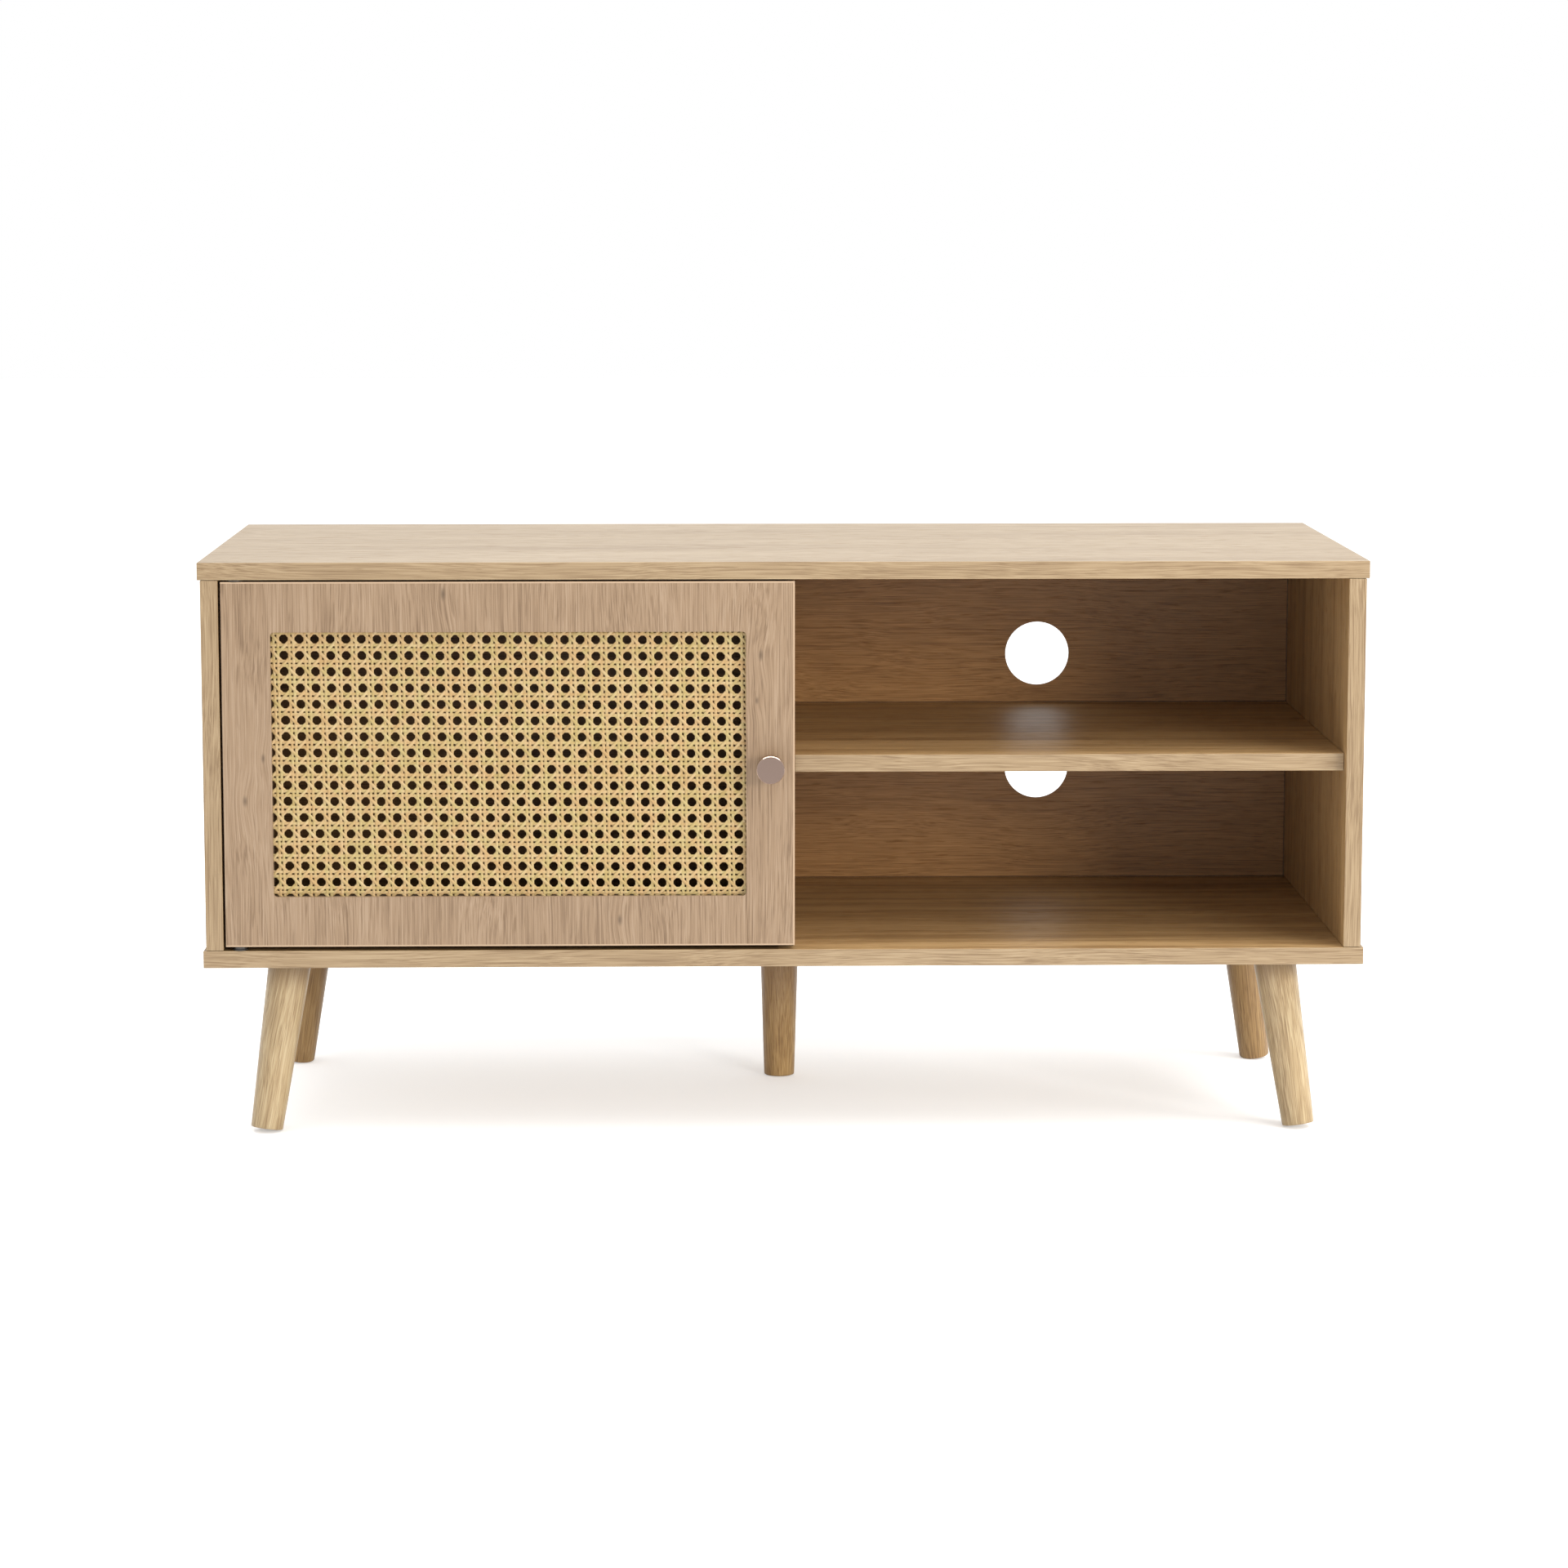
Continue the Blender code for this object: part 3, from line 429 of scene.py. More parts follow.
def back_material():
    """Oak paper on the face towards the room, bare brown fibreboard behind; the face carries painted shade
    across the open bay, behind the door and along its joints.
    """
    made, tree, shader = new_material("back_board")
    place = rest_place(tree)
    grain_place = vector(tree, "ADD", along_axis(tree, place, "X"), (0.4, 0.02, 0.13))
    colour, relief, pores = wood_colour(tree, grain_place, BACK_TONES_AND_SHADE, contrast=4.0, fineness=1.3)

    split = add(tree, "SeparateXYZ", {0: place}).outputs
    left_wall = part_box("divider_panel")[1].x
    right_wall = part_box("side_panel_right")[0].x
    # Painted shade: the open bay's back darkens from the divider to the right side panel, and the bay behind
    # the door is darker still.
    closed = closed_bay_mask(tree, place)
    shade = remap(tree, split["X"], left_wall, right_wall, BACK_SHADE_NEAR_DIVIDER, BACK_SHADE_NEAR_SIDE)
    shade = mix(tree, "FLOAT", closed, shade, CLOSED_BAY_SHADE)
    # Painted shadow in the joints: a dark line along the shelf (open bay only), the bottom panel and the
    # right side panel.
    seam_shadow = calc(tree, "COMPARE", split["Z"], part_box("shelf")[1].z, SEAM_SHADOW)
    seam_shadow = calc(tree, "MULTIPLY", seam_shadow, calc(tree, "SUBTRACT", 1.0, closed))
    seam_shadow = calc(tree, "MAXIMUM", seam_shadow, calc(tree, "COMPARE", split["Z"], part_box("bottom_panel")[1].z, SEAM_SHADOW))
    seam_shadow = calc(tree, "MAXIMUM", seam_shadow, calc(tree, "COMPARE", split["X"], right_wall, SEAM_SHADOW))
    shade = calc(tree, "MULTIPLY", shade, calc(tree, "MULTIPLY_ADD", seam_shadow, SEAM_SHADOW_DEPTH, 1.0))
    grey = add(tree, "CombineColor", {0: shade, 1: shade, 2: shade}).outputs[0]
    colour = blend_colours(tree, 1.0, colour, grey, "MULTIPLY")

    bare = calc(tree, "GREATER_THAN", normal_along(tree, "Y"), -0.5)
    felt = noise(tree, place, 380.0, 6.0, 0.75)
    blotch = noise(tree, place, 14.0, 3.0, 0.6)
    fibre = ramp(tree, calc(tree, "MULTIPLY_ADD", felt, 0.82, calc(tree, "MULTIPLY", blotch, 0.18)),
                 (0.34, (0.12, 0.065, 0.032)), (0.64, (0.33, 0.21, 0.12)))
    roughness = mix(tree, "FLOAT", bare, calc(tree, "MULTIPLY_ADD", pores, 0.2, 0.5), 0.8)
    height = mix(tree, "FLOAT", bare, relief, felt)
    dress(tree, shader, blend_colours(tree, bare, colour, fibre), roughness,
          bump(tree, height, 0.1 * MM, 0.6))
    return made


paint("back_panel", back_material())


# ==== legs =======================================================================================
SPLAY = radians(8)
LEG_TONES = ((0.221, 0.14, 0.06), (0.353, 0.245, 0.118), (0.443, 0.335, 0.181))
# Painted light and shade: the front legs get a paler tint, and the rear and centre legs under the stand get
# deeper, warmer ones.
LIT_FRONT_LEG = (1.06, 1.09, 1.18)
SHADED_CENTRE_LEG = (1.02, 0.88, 0.68)
SHADED_REAR_LEG = (0.78, 0.66, 0.50)
PLATE_SHADE_TINT = (0.78, 0.68, 0.54)  # painted shade: further tint right under the plate, where the bottom panel shades the leg
FOOT_EDGE = 2.5 * MM          # height of the darker edge of the foot: painted shade at its rim
PLATE_EDGE = 6 * MM           # the painted shade is deepest from this far below the plate


def leg_material(label, hand_x, hand_y, seed, tint, shade_reach):
    """Lacquered solid oak with its grain along the leg; painted shade deepens the tone over the reach below
    the plate and darkens the foot's edge.
    """
    made, tree, shader = new_material("oak_leg_" + label)
    low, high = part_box("leg_" + label)
    axis = Vector((-hand_x * tan(SPLAY), -hand_y * tan(SPLAY), 1)).normalized()
    turn = Vector((1, 0, 0)).rotation_difference(axis).to_euler()
    half = (high.z - low.z) / 2 / axis.z
    local = add(tree, "Mapping", {"Vector": rest_place(tree), "Location": (low + high) / 2,
                                  "Rotation": turn}, vector_type="TEXTURE").outputs[0]
    grain_place = vector(tree, "ADD", local, (seed, 0.021 + seed * 0.01, 0.013))
    tones = [tinted(tone, tint) for tone in LEG_TONES]
    colour, relief, pores = wood_colour(tree, grain_place, tones, contrast=5.4, fineness=1.2)

    along = component(tree, local, "X")
    # Painted shade at the foot's rounded rim, where it meets the floor.
    foot_shade = remap(tree, along, -half, -half + FOOT_EDGE, 0.5, 0.0)
    colour = blend_colours(tree, foot_shade, colour, LEG_TONES[0])
    # Painted shade under the bottom panel: the tone deepens towards the plate.
    upper = remap(tree, along, half - shade_reach, half - PLATE_EDGE, 0.0, 0.8)
    colour = blend_colours(tree, upper, colour, tinted(tones[0], PLATE_SHADE_TINT))
    roughness = calc(tree, "MULTIPLY_ADD", pores, 0.2, 0.38)
    dress(tree, shader, colour, roughness, bump(tree, relief, 0.15 * MM, 0.7))
    shader.inputs["Coat Weight"].default_value = 0.15
    shader.inputs["Coat Roughness"].default_value = 0.3
    return made


LEGS = (                      # name, side it leans to in x and y, seed, tint with painted light in front and painted shade under the stand, reach of the painted shade below the plate
    ("front_left", -1, -1, 0.2, LIT_FRONT_LEG, 34 * MM),
    ("front_right", 1, -1, 0.9, LIT_FRONT_LEG, 34 * MM),
    ("rear_left", -1, 1, 1.6, SHADED_REAR_LEG, 100 * MM),
    ("rear_right", 1, 1, 2.3, SHADED_REAR_LEG, 100 * MM),
    ("centre", 0, 0, 3.1, SHADED_CENTRE_LEG, 125 * MM),
)
for label, hand_x, hand_y, seed, tint, shade_reach in LEGS:
    paint("leg_" + label, leg_material(label, hand_x, hand_y, seed, tint, shade_reach))


# ==== hardware ===================================================================================
def speckled(name, colour, roughness, metallic, grain, spread, depth):
    """Plated, powder-coated or moulded finish, mottled in colour, roughness and relief.

    It has `grain` specks to the metre, which are up to `spread` paler or darker and `depth` deep.
    """
    made, tree, shader = new_material(name)
    place = rest_place(tree)
    fine = noise(tree, place, grain, 3.0, 0.6)
    cloud = noise(tree, place, grain * 0.06, 2.0, 0.5)
    factor = calc(tree, "MULTIPLY_ADD", fine, 0.6, calc(tree, "MULTIPLY", cloud, 0.4))
    mottled = ramp(tree, factor, (0.3, scaled(colour, 1 - spread)), (0.7, scaled(colour, 1 + spread)))
    dress(tree, shader, mottled, remap(tree, cloud, 0.3, 0.7, roughness * 0.8, roughness * 1.2),
          bump(tree, fine, depth, 0.5))
    shader.inputs["Metallic"].default_value = metallic
    return made


def bumper_material():
    """Soft clear plastic with a little haze."""
    made, tree, shader = new_material("clear_bumper")
    haze = noise(tree, rest_place(tree), 500.0, 3.0, 0.6)
    colour = ramp(tree, haze, (0.3, (0.66, 0.65, 0.60)), (0.7, (0.86, 0.85, 0.81)))
    tree.links.new(colour, shader.inputs["Base Color"])
    tree.links.new(remap(tree, haze, 0.3, 0.7, 0.12, 0.25), shader.inputs["Roughness"])
    shader.inputs["Transmission Weight"].default_value = 0.5
    shader.inputs["IOR"].default_value = 1.48
    return made


ZINC = speckled("zinc_plate", (0.62, 0.62, 0.60), roughness=0.30, metallic=1.0,
                grain=1500.0, spread=0.12, depth=0.02 * MM)
POWDER = speckled("black_powder_coat", (0.022, 0.022, 0.024), roughness=0.48, metallic=0.0,
                  grain=2600.0, spread=0.25, depth=0.06 * MM)
BRONZE = speckled("bronzed_steel", (0.07, 0.045, 0.03), roughness=0.4, metallic=1.0,
                  grain=1500.0, spread=0.15, depth=0.02 * MM)
NYLON = speckled("dark_nylon", (0.035, 0.03, 0.025), roughness=0.45, metallic=0.0,
                 grain=1200.0, spread=0.2, depth=0.02 * MM)
CATCH = speckled("brown_plastic", (0.26, 0.155, 0.08), roughness=0.4, metallic=0.0,
                 grain=1800.0, spread=0.12, depth=0.03 * MM)
BEECH = speckled("beech", (0.62, 0.44, 0.27), roughness=0.6, metallic=0.0,
                 grain=700.0, spread=0.15, depth=0.05 * MM)
FINISHES = (
    (ZINC, ("knob_screw", "catch_screw_", "strike_", "connecting_screw_", "hanger_bolt_")),
    (POWDER, ("leg_plate_", "catch_magnet")),
    (BRONZE, ("hinge_pin_",)),
    (NYLON, ("hinge_bush_", "thrust_washer")),
    (CATCH, ("catch_housing",)),
    (BEECH, ("top_dowel_", "shelf_dowel_")),
    (bumper_material(), ("door_bumper_",)),
)
for finish, prefixes in FINISHES:
    for name in nodes:
        if name.startswith(prefixes):
            paint(name, finish)


# ==== new pieces =================================================================================
SMOOTH_ANGLE = radians(40)    # edges sharper than this stay sharp


def mesh_object(name, points, faces, finish, body, smooth_angle=SMOOTH_ANGLE):
    mesh = bpy.data.meshes.new(name)
    mesh.from_pydata(points, [], faces)
    mesh.update()
    mesh.shade_smooth()
    mesh.set_sharp_from_angle(angle=smooth_angle)
    mesh.materials.append(finish)
    made = bpy.data.objects.new(name, mesh)
    bpy.context.scene.collection.objects.link(made)
    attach(made, body)
    return made


def turned_mesh(outline, facets):
    """Points and faces of a solid turned round Z; its outline of (radius, height) runs from axis to axis."""
    points, rings = [], []
    for radius, height in outline:
        if radius == 0:
            rings.append([len(points)])
            points.append((0, 0, height))
        else:
            rings.append([len(points) + step for step in range(facets)])
            points += [(radius * cos(2 * pi * step / facets), radius * sin(2 * pi * step / facets), height)
                       for step in range(facets)]
    faces = []
    for upper, lower in zip(rings, rings[1:]):
        for step in range(facets):
            after = (step + 1) % facets
            if len(upper) == 1:
                faces.append((upper[0], lower[step], lower[after]))
            elif len(lower) == 1:
                faces.append((upper[step], lower[0], upper[after]))
            else:
                faces.append((upper[step], lower[step], lower[after], upper[after]))
    return points, faces


# ---- knob ----------------------------------------------------------------------------------------
KNOB_NECK = 6.5 * MM          # radius
KNOB_HEAD = 11 * MM           # length of the round head
KNOB_FLARE = 5 * MM           # and of the flare behind it
KNOB_BEVEL = 0.5 * MM
KNOB_COLLAR = 1 * MM          # width and height of the collar against the door
KNOB_FACETS = 96
FLARE_STEPS = 10
TURNING_LINES = 3500.0        # to the metre


def knob_material(centre):
    """Rose-gold plating; a painted dark reflection on the face and a painted highlight on the paler turned
    sides; fine lines run round the axis.
    """
    made, tree, shader = new_material("rose_gold")
    place = rest_place(tree)
    radius = length(tree, vector(tree, "MULTIPLY", vector(tree, "SUBTRACT", place, centre), (1, 0, 1)))
    line = calc(tree, "ADD", calc(tree, "MULTIPLY", radius, TURNING_LINES),
                calc(tree, "MULTIPLY", component(tree, place, "Y"), TURNING_LINES))
    turning = noise_along(tree, line, detail=3.0)
    cloud = noise(tree, place, 160.0, 3.0, 0.6)
    factor = calc(tree, "MULTIPLY_ADD", turning, 0.5, calc(tree, "MULTIPLY", cloud, 0.5))
    # Painted reflection and highlight: the flat face is darker, and the turned sides and bevel are paler so
    # that the rim shines.
    flat_face = calc(tree, "LESS_THAN", normal_along(tree, "Y"), -0.95)
    face_dark_reflection = ramp(tree, factor, (0.3, (0.208, 0.15, 0.124)), (0.7, (0.224, 0.163, 0.136)))
    side_highlight_tone = ramp(tree, factor, (0.3, (0.39, 0.285, 0.225)), (0.7, (0.45, 0.335, 0.27)))
    dress(tree, shader, blend_colours(tree, flat_face, side_highlight_tone, face_dark_reflection),
          remap(tree, cloud, 0.3, 0.7, 0.13, 0.19), bump(tree, turning, 0.002 * MM, 0.5))
    shader.inputs["Metallic"].default_value = 1.0
    return made


knob_low, knob_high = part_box("knob")
knob_centre = (knob_low + knob_high) / 2
knob_radius = (knob_high.z - knob_low.z) / 2
knob_length = knob_high.y - knob_low.y
outline = [(0, knob_length), (knob_radius - KNOB_BEVEL, knob_length),
           (knob_radius, knob_length - KNOB_BEVEL)]
for step in range(FLARE_STEPS + 1):
    turn = step / FLARE_STEPS * pi / 2
    outline.append((KNOB_NECK + (knob_radius - KNOB_NECK) * cos(turn),
                    knob_length - KNOB_HEAD - KNOB_FLARE * sin(turn)))
outline += [(KNOB_NECK, 1.5 * KNOB_COLLAR), (KNOB_NECK + KNOB_COLLAR, KNOB_COLLAR),
            (KNOB_NECK + KNOB_COLLAR, 0), (0, 0)]
points, faces = turned_mesh(outline, KNOB_FACETS)
points = [(knob_centre.x + x, knob_high.y - z, knob_centre.z + y) for x, y, z in points]
knob = mesh_object("turned_knob", points, faces, knob_material(knob_centre), "door")
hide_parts("knob")

# ---- screws of the leg plates ----------------------------------------------------------------------
PLATE_SCREW_OFFSET = 23 * MM
PLATE_THICKNESS = 2.5 * MM
HEAD_RADIUS = 3.9 * MM
HEAD_RIM = 0.3 * MM
HEAD_DOME = 2.0 * MM
SHANK_RADIUS = 2.0 * MM
SHANK_LENGTH = 6 * MM
SCREW_LENGTH = 8 * MM
DOME_STEPS = 5
SCREW_FACETS = 24
RECESS_ARM = 2.3 * MM         # half the length of a slot of the cross
RECESS_SLOT = 0.45 * MM       # and half its width
RECESS_FLOOR = -1.0 * MM
RECESS_CLEAR = -4 * MM        # the cutting box starts well below the head
BOX_FACES = ((0, 1, 3, 2), (4, 6, 7, 5), (0, 4, 5, 1), (2, 3, 7, 6), (0, 2, 6, 4), (1, 5, 7, 3))


def screw_blank():
    """Points and faces of a pan-head wood screw that points up, its plate's face at z = 0."""
    outline = [(0, -HEAD_RIM - HEAD_DOME)]
    for step in range(1, DOME_STEPS + 1):
        turn = step / DOME_STEPS * pi / 2
        outline.append((HEAD_RADIUS * sin(turn), -HEAD_RIM - HEAD_DOME * cos(turn)))
    outline += [(HEAD_RADIUS, 0), (SHANK_RADIUS, 0), (SHANK_RADIUS, SHANK_LENGTH), (0, SCREW_LENGTH)]
    return turned_mesh(outline[::-1], SCREW_FACETS)


def screw_mesh():
    """That screw with a cross recess cut into its head."""
    points, faces = screw_blank()
    mesh = bpy.data.meshes.new("plate_screw")
    mesh.from_pydata(points, [], faces)
    body = bpy.data.objects.new("screw_blank", mesh)
    bpy.context.scene.collection.objects.link(body)
    arms = []
    for half_x, half_y in ((RECESS_ARM, RECESS_SLOT), (RECESS_SLOT, RECESS_ARM)):
        corners = [(x * half_x, y * half_y, z) for x in (-1, 1) for y in (-1, 1)
                   for z in (RECESS_CLEAR, RECESS_FLOOR)]
        box = bpy.data.meshes.new("recess")
        box.from_pydata(corners, [], BOX_FACES)
        arm = bpy.data.objects.new("recess", box)
        bpy.context.scene.collection.objects.link(arm)
        arms.append(arm)
        cut = body.modifiers.new("cut", "BOOLEAN")
        cut.operation = "DIFFERENCE"
        cut.solver = "EXACT"
        cut.object = arm
    bpy.context.view_layer.update()
    made = bpy.data.meshes.new_from_object(body.evaluated_get(bpy.context.evaluated_depsgraph_get()))
    for scrap in (body, *arms):
        bpy.data.objects.remove(scrap)
    made.shade_smooth()
    made.set_sharp_from_angle(angle=SMOOTH_ANGLE)
    made.materials.clear()
    made.materials.append(ZINC)
    return made


plate_screw = screw_mesh()
for label, *_ in LEGS:
    low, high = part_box("leg_plate_" + label)
    corner = 0
    for hand_x in (-1, 1):
        for hand_y in (-1, 1):
            corner += 1
            screw = bpy.data.objects.new(f"plate_screw_{label}_{corner}", plate_screw)
            screw.location = ((low.x + high.x) / 2 + hand_x * PLATE_SCREW_OFFSET,
                              (low.y + high.y) / 2 + hand_y * PLATE_SCREW_OFFSET, high.z - PLATE_THICKNESS)
            screw.rotation_euler.z = radians(37 * corner + 20 * hand_x)      # each driven to its own angle
            bpy.context.scene.collection.objects.link(screw)
            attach(screw, "carcass")


# ==== cane webbing ===============================================================================
# Lattice numbers (p, q) count holes from the upper left one; whole numbers are the middles of holes.
FIRST_HOLE = Vector((-427.8 * MM, 0, 439.2 * MM))
STEP_P = Vector((13.31, 0, -0.06)) * MM          # from a hole to the next on its right
STEP_Q = Vector((0.19, 0, -14.0)) * MM           # and to the next below; the webbing hangs slightly askew
PAIR_P = 1.8 / 13.31          # half the distance between the two strands of a pair, in lattice numbers
PAIR_Q = 1.95 / 14.0
COLUMNS = range(-3, 34)
ROWS = range(-3, 20)
FALLING = range(-22, 36)      # diagonals, numbered by where they cross the first row
RISING = range(-3, 54)
STRAND_THICKNESS = 0.6 * MM
SAMPLES = 8                   # cross-sections from one hole to the next
SHORTEST_STRAND = 8 * MM
SHEET_MARGIN = 1.2 * MM       # the strands end this far inside the sheet's edge
WEAVE_DEPTH = 0.31 * MM       # where pairs cross
DIAGONAL_DEPTH = 0.6 * MM     # the diagonals pass right over or under a pair
DIAGONAL_FLATNESS = 2.4
SECTION = ((-0.5, 0.0), (-0.34, -0.42), (0.0, -0.5), (0.34, -0.42), (0.5, 0.0), (0.36, 0.5), (-0.36, 0.5))

cane_low, cane_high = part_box("cane_webbing")
cane_middle = (cane_low.y + cane_high.y) / 2


def cane_material():
    """Rattan skin: each strand has its own tone, long fibres and faint blotches; the skin is satin."""
    made, tree, shader = new_material("rattan")
    fibre = add(tree, "Attribute", attribute_name="fibre").outputs["Vector"]
    tone = add(tree, "Attribute", attribute_name="tone").outputs["Fac"]
    threads = noise(tree, fibre, 1.0, 3.0, 0.6, (60.0, 3800.0, 5.0))
    patches = noise(tree, fibre, 1.0, 2.0, 0.5, (70.0, 200.0, 9.0))
    blush = noise(tree, rest_place(tree), 110.0, 2.0, 0.5)
    factor = calc(tree, "MULTIPLY_ADD", tone, 0.1, 0.13)
    factor = calc(tree, "ADD", factor, calc(tree, "MULTIPLY", patches, 0.45))
    factor = calc(tree, "ADD", factor, calc(tree, "MULTIPLY", threads, 0.32))
    colour = ramp(tree, factor, (0.3, (0.287, 0.18, 0.06)), (0.5, (0.384, 0.258, 0.105)),
                  (0.72, (0.453, 0.339, 0.175)))
    hue = ramp(tree, blush, (0.38, (0.80, 0.96, 0.66)), (0.5, (1, 1, 1)), (0.64, (1.0, 0.82, 0.78)))
    dress(tree, shader, blend_colours(tree, 0.4, colour, hue, "MULTIPLY"),
          remap(tree, threads, 0.3, 0.7, 0.48, 0.62), bump(tree, threads, 0.1 * MM, 0.6))
    return made


RATTAN = cane_material()


def clipped(start, along):
    """The range of t for which start + t * along lies inside the sheet."""
    first, last = -1e9, 1e9
    for axis in (0, 2):
        if along[axis] == 0:
            continue
        low, high = cane_low[axis] + SHEET_MARGIN, cane_high[axis] - SHEET_MARGIN
        ends = sorted(((low - start[axis]) / along[axis], (high - start[axis]) / along[axis]))
        first, last = max(first, ends[0]), min(last, ends[1])
    return first, last


def over_under(place, half):
    """Plain weave: 0 midway, -1 and 1 at the two strands of the crossing pair, 0 away from them."""
    offset = (place % 1.0) - 0.5
    return sin(pi * offset / (2 * half)) if abs(offset) < 2 * half else 0.0


def depth_upright(p, q, hand):
    return hand * WEAVE_DEPTH * over_under(q, PAIR_Q)


def depth_level(p, q, hand):
    return -hand * WEAVE_DEPTH * over_under(p, PAIR_P)


def depth_diagonal(p, q, hand):
    """Flat-topped wave: hand 1 passes over the uprights and under the levels, hand -1 the other way."""
    return hand * DIAGONAL_DEPTH * tanh(DIAGONAL_FLATNESS * cos(2 * pi * p)) / tanh(DIAGONAL_FLATNESS)


def weave(name, strands, depth, width, seed):
    """One family of strands as one mesh; strands are (p, q, step p, step q, hand)."""
    random.seed(seed)
    points, faces, fibre, tones = [], [], [], []
    ring = len(SECTION)
    for number, (p, q, step_p, step_q, hand) in enumerate(strands):
        along = STEP_P * step_p + STEP_Q * step_q
        start = FIRST_HOLE + STEP_P * p + STEP_Q * q
        first, last = clipped(start, along)
        if (last - first) * along.length < SHORTEST_STRAND:
            continue
        across = Vector((-along.z, 0, along.x)).normalized()
        count = max(2, round((last - first) * SAMPLES))
        tone = random.random()
        wander = random.uniform(0, 50)
        swing = random.uniform(0.10, 0.22) * MM
        own_width = width * random.uniform(0.94, 1.04)
        base = len(points)
        for index in range(count + 1):
            t = first + (last - first) * index / count
            middle = start + along * t + across * (swing * sin(wander + 0.7 * t))
            middle.y = cane_middle + depth(p + step_p * t, q + step_q * t, hand)
            for side, level in SECTION:
                raised = Vector((0, level * STRAND_THICKNESS, 0))
                points.append(middle + across * (side * own_width) + raised)
                fibre.append((t * along.length, side * own_width, number * 0.37 + wander))
                tones.append(tone)
        for index in range(count):
            for step in range(ring):
                after = (step + 1) % ring
                low, high = base + index * ring, base + (index + 1) * ring
                faces.append((low + step, high + step, high + after, low + after))
        faces.append(tuple(base + step for step in range(ring)))
        faces.append(tuple(base + count * ring + step for step in reversed(range(ring))))
    made = mesh_object(name, points, faces, RATTAN, "door", smooth_angle=radians(60))
    data = made.data
    data.attributes.new("fibre", "FLOAT_VECTOR", "POINT").data.foreach_set(
        "vector", [value for triple in fibre for value in triple])
    data.attributes.new("tone", "FLOAT", "POINT").data.foreach_set("value", tones)
    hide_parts("cane_webbing")
    return made


uprights = [(column + 0.5 + hand * PAIR_P, 0, 0, 1, hand) for column in COLUMNS for hand in (-1, 1)]
levels = [(0, row + 0.5 + hand * PAIR_Q, 1, 0, hand) for row in ROWS for hand in (-1, 1)]
falling = [(line + 0.5, 0, 1, 1, 1) for line in FALLING]
rising = [(line + 0.5, 0, 1, -1, -1) for line in RISING]
weave("cane_uprights", uprights, depth_upright, width=2.3 * MM, seed=11)
weave("cane_levels", levels, depth_level, width=2.5 * MM, seed=12)
weave("cane_falling", falling, depth_diagonal, width=2.4 * MM, seed=13)
weave("cane_rising", rising, depth_diagonal, width=2.4 * MM, seed=14)


# ==== floor, light and camera ====================================================================
FLOOR_REACH = 14              # metres from the middle to each edge
FLOOR_DROP = 0.3 * MM         # the floor lies this far below the feet
HAZE_DROP = 0.2 * MM
FLOOR_TONE = 0.9
FLOOR_GLOW = 0.05
HAZE_GLOW = 0.3
LIGHT_TARGET = Vector((0, 0, 0.3))


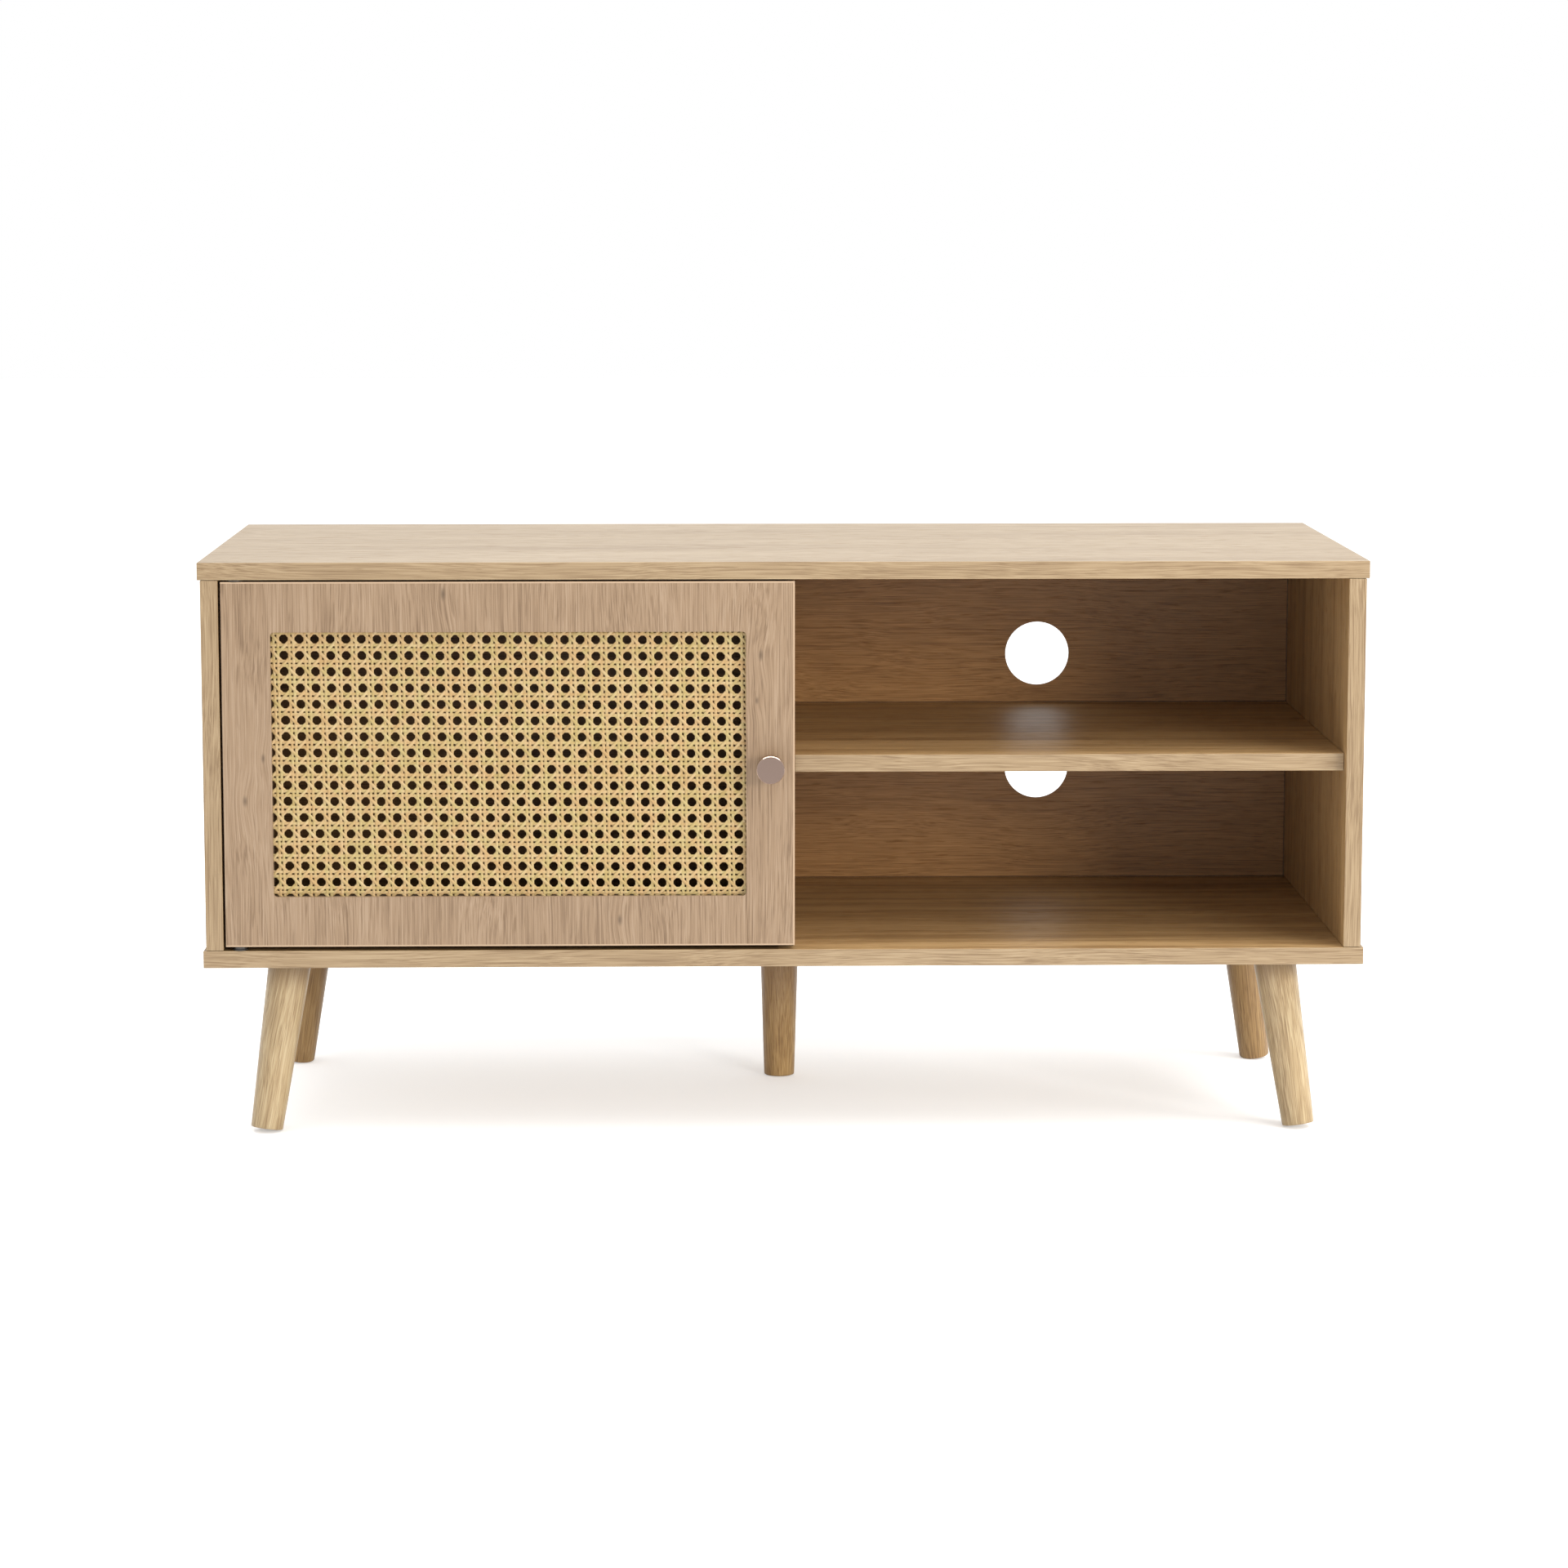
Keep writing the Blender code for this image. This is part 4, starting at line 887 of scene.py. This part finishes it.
def floor():
    """A pale floor, and a clear glowing sheet just above it that softens the shadow and lights nothing."""
    mesh = bpy.data.meshes.new("floor")
    mesh.from_pydata([(-FLOOR_REACH, -FLOOR_REACH, 0), (FLOOR_REACH, -FLOOR_REACH, 0),
                      (FLOOR_REACH, FLOOR_REACH, 0), (-FLOOR_REACH, FLOOR_REACH, 0)], [], [(0, 1, 2, 3)])
    made = bpy.data.objects.new("floor", mesh)
    made.location.z = -FLOOR_DROP
    finish, tree, shader = new_material("pale_floor")
    shader.inputs["Base Color"].default_value = (FLOOR_TONE, FLOOR_TONE, FLOOR_TONE, 1)
    shader.inputs["Emission Color"].default_value = (1, 1, 1, 1)
    shader.inputs["Emission Strength"].default_value = FLOOR_GLOW
    shader.inputs["Roughness"].default_value = 0.9
    shader.inputs["Specular IOR Level"].default_value = 0.1
    mesh.materials.append(finish)
    bpy.context.scene.collection.objects.link(made)
    made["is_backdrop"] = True

    sheet_mesh = mesh.copy()
    sheet_mesh.materials.clear()
    haze, tree, shader = new_material("floor_haze")
    glow = add(tree, "Emission", {"Strength": HAZE_GLOW})
    both = add(tree, "AddShader", {0: glow.outputs[0], 1: add(tree, "BsdfTransparent").outputs[0]})
    tree.links.new(both.outputs[0], tree.nodes["Material Output"].inputs["Surface"])
    tree.nodes.remove(shader)
    sheet_mesh.materials.append(haze)
    sheet = bpy.data.objects.new("floor_haze", sheet_mesh)
    sheet.location.z = -HAZE_DROP
    sheet.visible_diffuse = False
    sheet.visible_glossy = False
    sheet.visible_transmission = False
    sheet.visible_shadow = False
    bpy.context.scene.collection.objects.link(sheet)
    sheet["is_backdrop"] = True


def softbox(name, location, width, height, power, mirrored=True):
    """A rectangular light that points at the stand; glossy faces show it only when `mirrored`."""
    light = bpy.data.lights.new(name, "AREA")
    light.shape = "RECTANGLE"
    light.size = width
    light.size_y = height
    light.energy = power
    made = bpy.data.objects.new(name, light)
    made.location = location
    made.rotation_euler = (LIGHT_TARGET - Vector(location)).to_track_quat("-Z", "Y").to_euler()
    made.visible_glossy = mirrored
    bpy.context.scene.collection.objects.link(made)


floor()
softbox("key_side", (5.08, -2.93, 1.50), width=1.8, height=1.4, power=85, mirrored=False)
softbox("key_front", (3.37, -4.81, 1.50), width=1.8, height=1.4, power=135, mirrored=False)
softbox("overhead", (0.00, -0.42, 3.22), width=4.4, height=0.8, power=84)
softbox("fill", (1.96, -1.13, 2.51), width=1.4, height=1.2, power=40)

world = bpy.data.worlds.new("studio")
world.use_nodes = True
world.node_tree.nodes["Background"].inputs["Color"].default_value = (1, 1, 1, 1)
world.node_tree.nodes["Background"].inputs["Strength"].default_value = 1.0
bpy.context.scene.world = world
bpy.context.scene.view_settings.view_transform = "Standard"

CAMERA_PLACE = Vector((-0.0669, -3.6891, 0.8235))
CAMERA_PITCH = 0.12443        # looking down
CAMERA_YAW = 0.01889          # and a little to the right
lens = bpy.data.cameras.new("camera")
lens.sensor_width = 36
lens.lens = 94.72
lens.shift_y = -0.0530
camera = bpy.data.objects.new("camera", lens)
camera.location = CAMERA_PLACE
camera.rotation_euler = (pi / 2 - CAMERA_PITCH, 0, -CAMERA_YAW)
bpy.context.scene.collection.objects.link(camera)
bpy.context.scene.camera = camera

low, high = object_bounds()
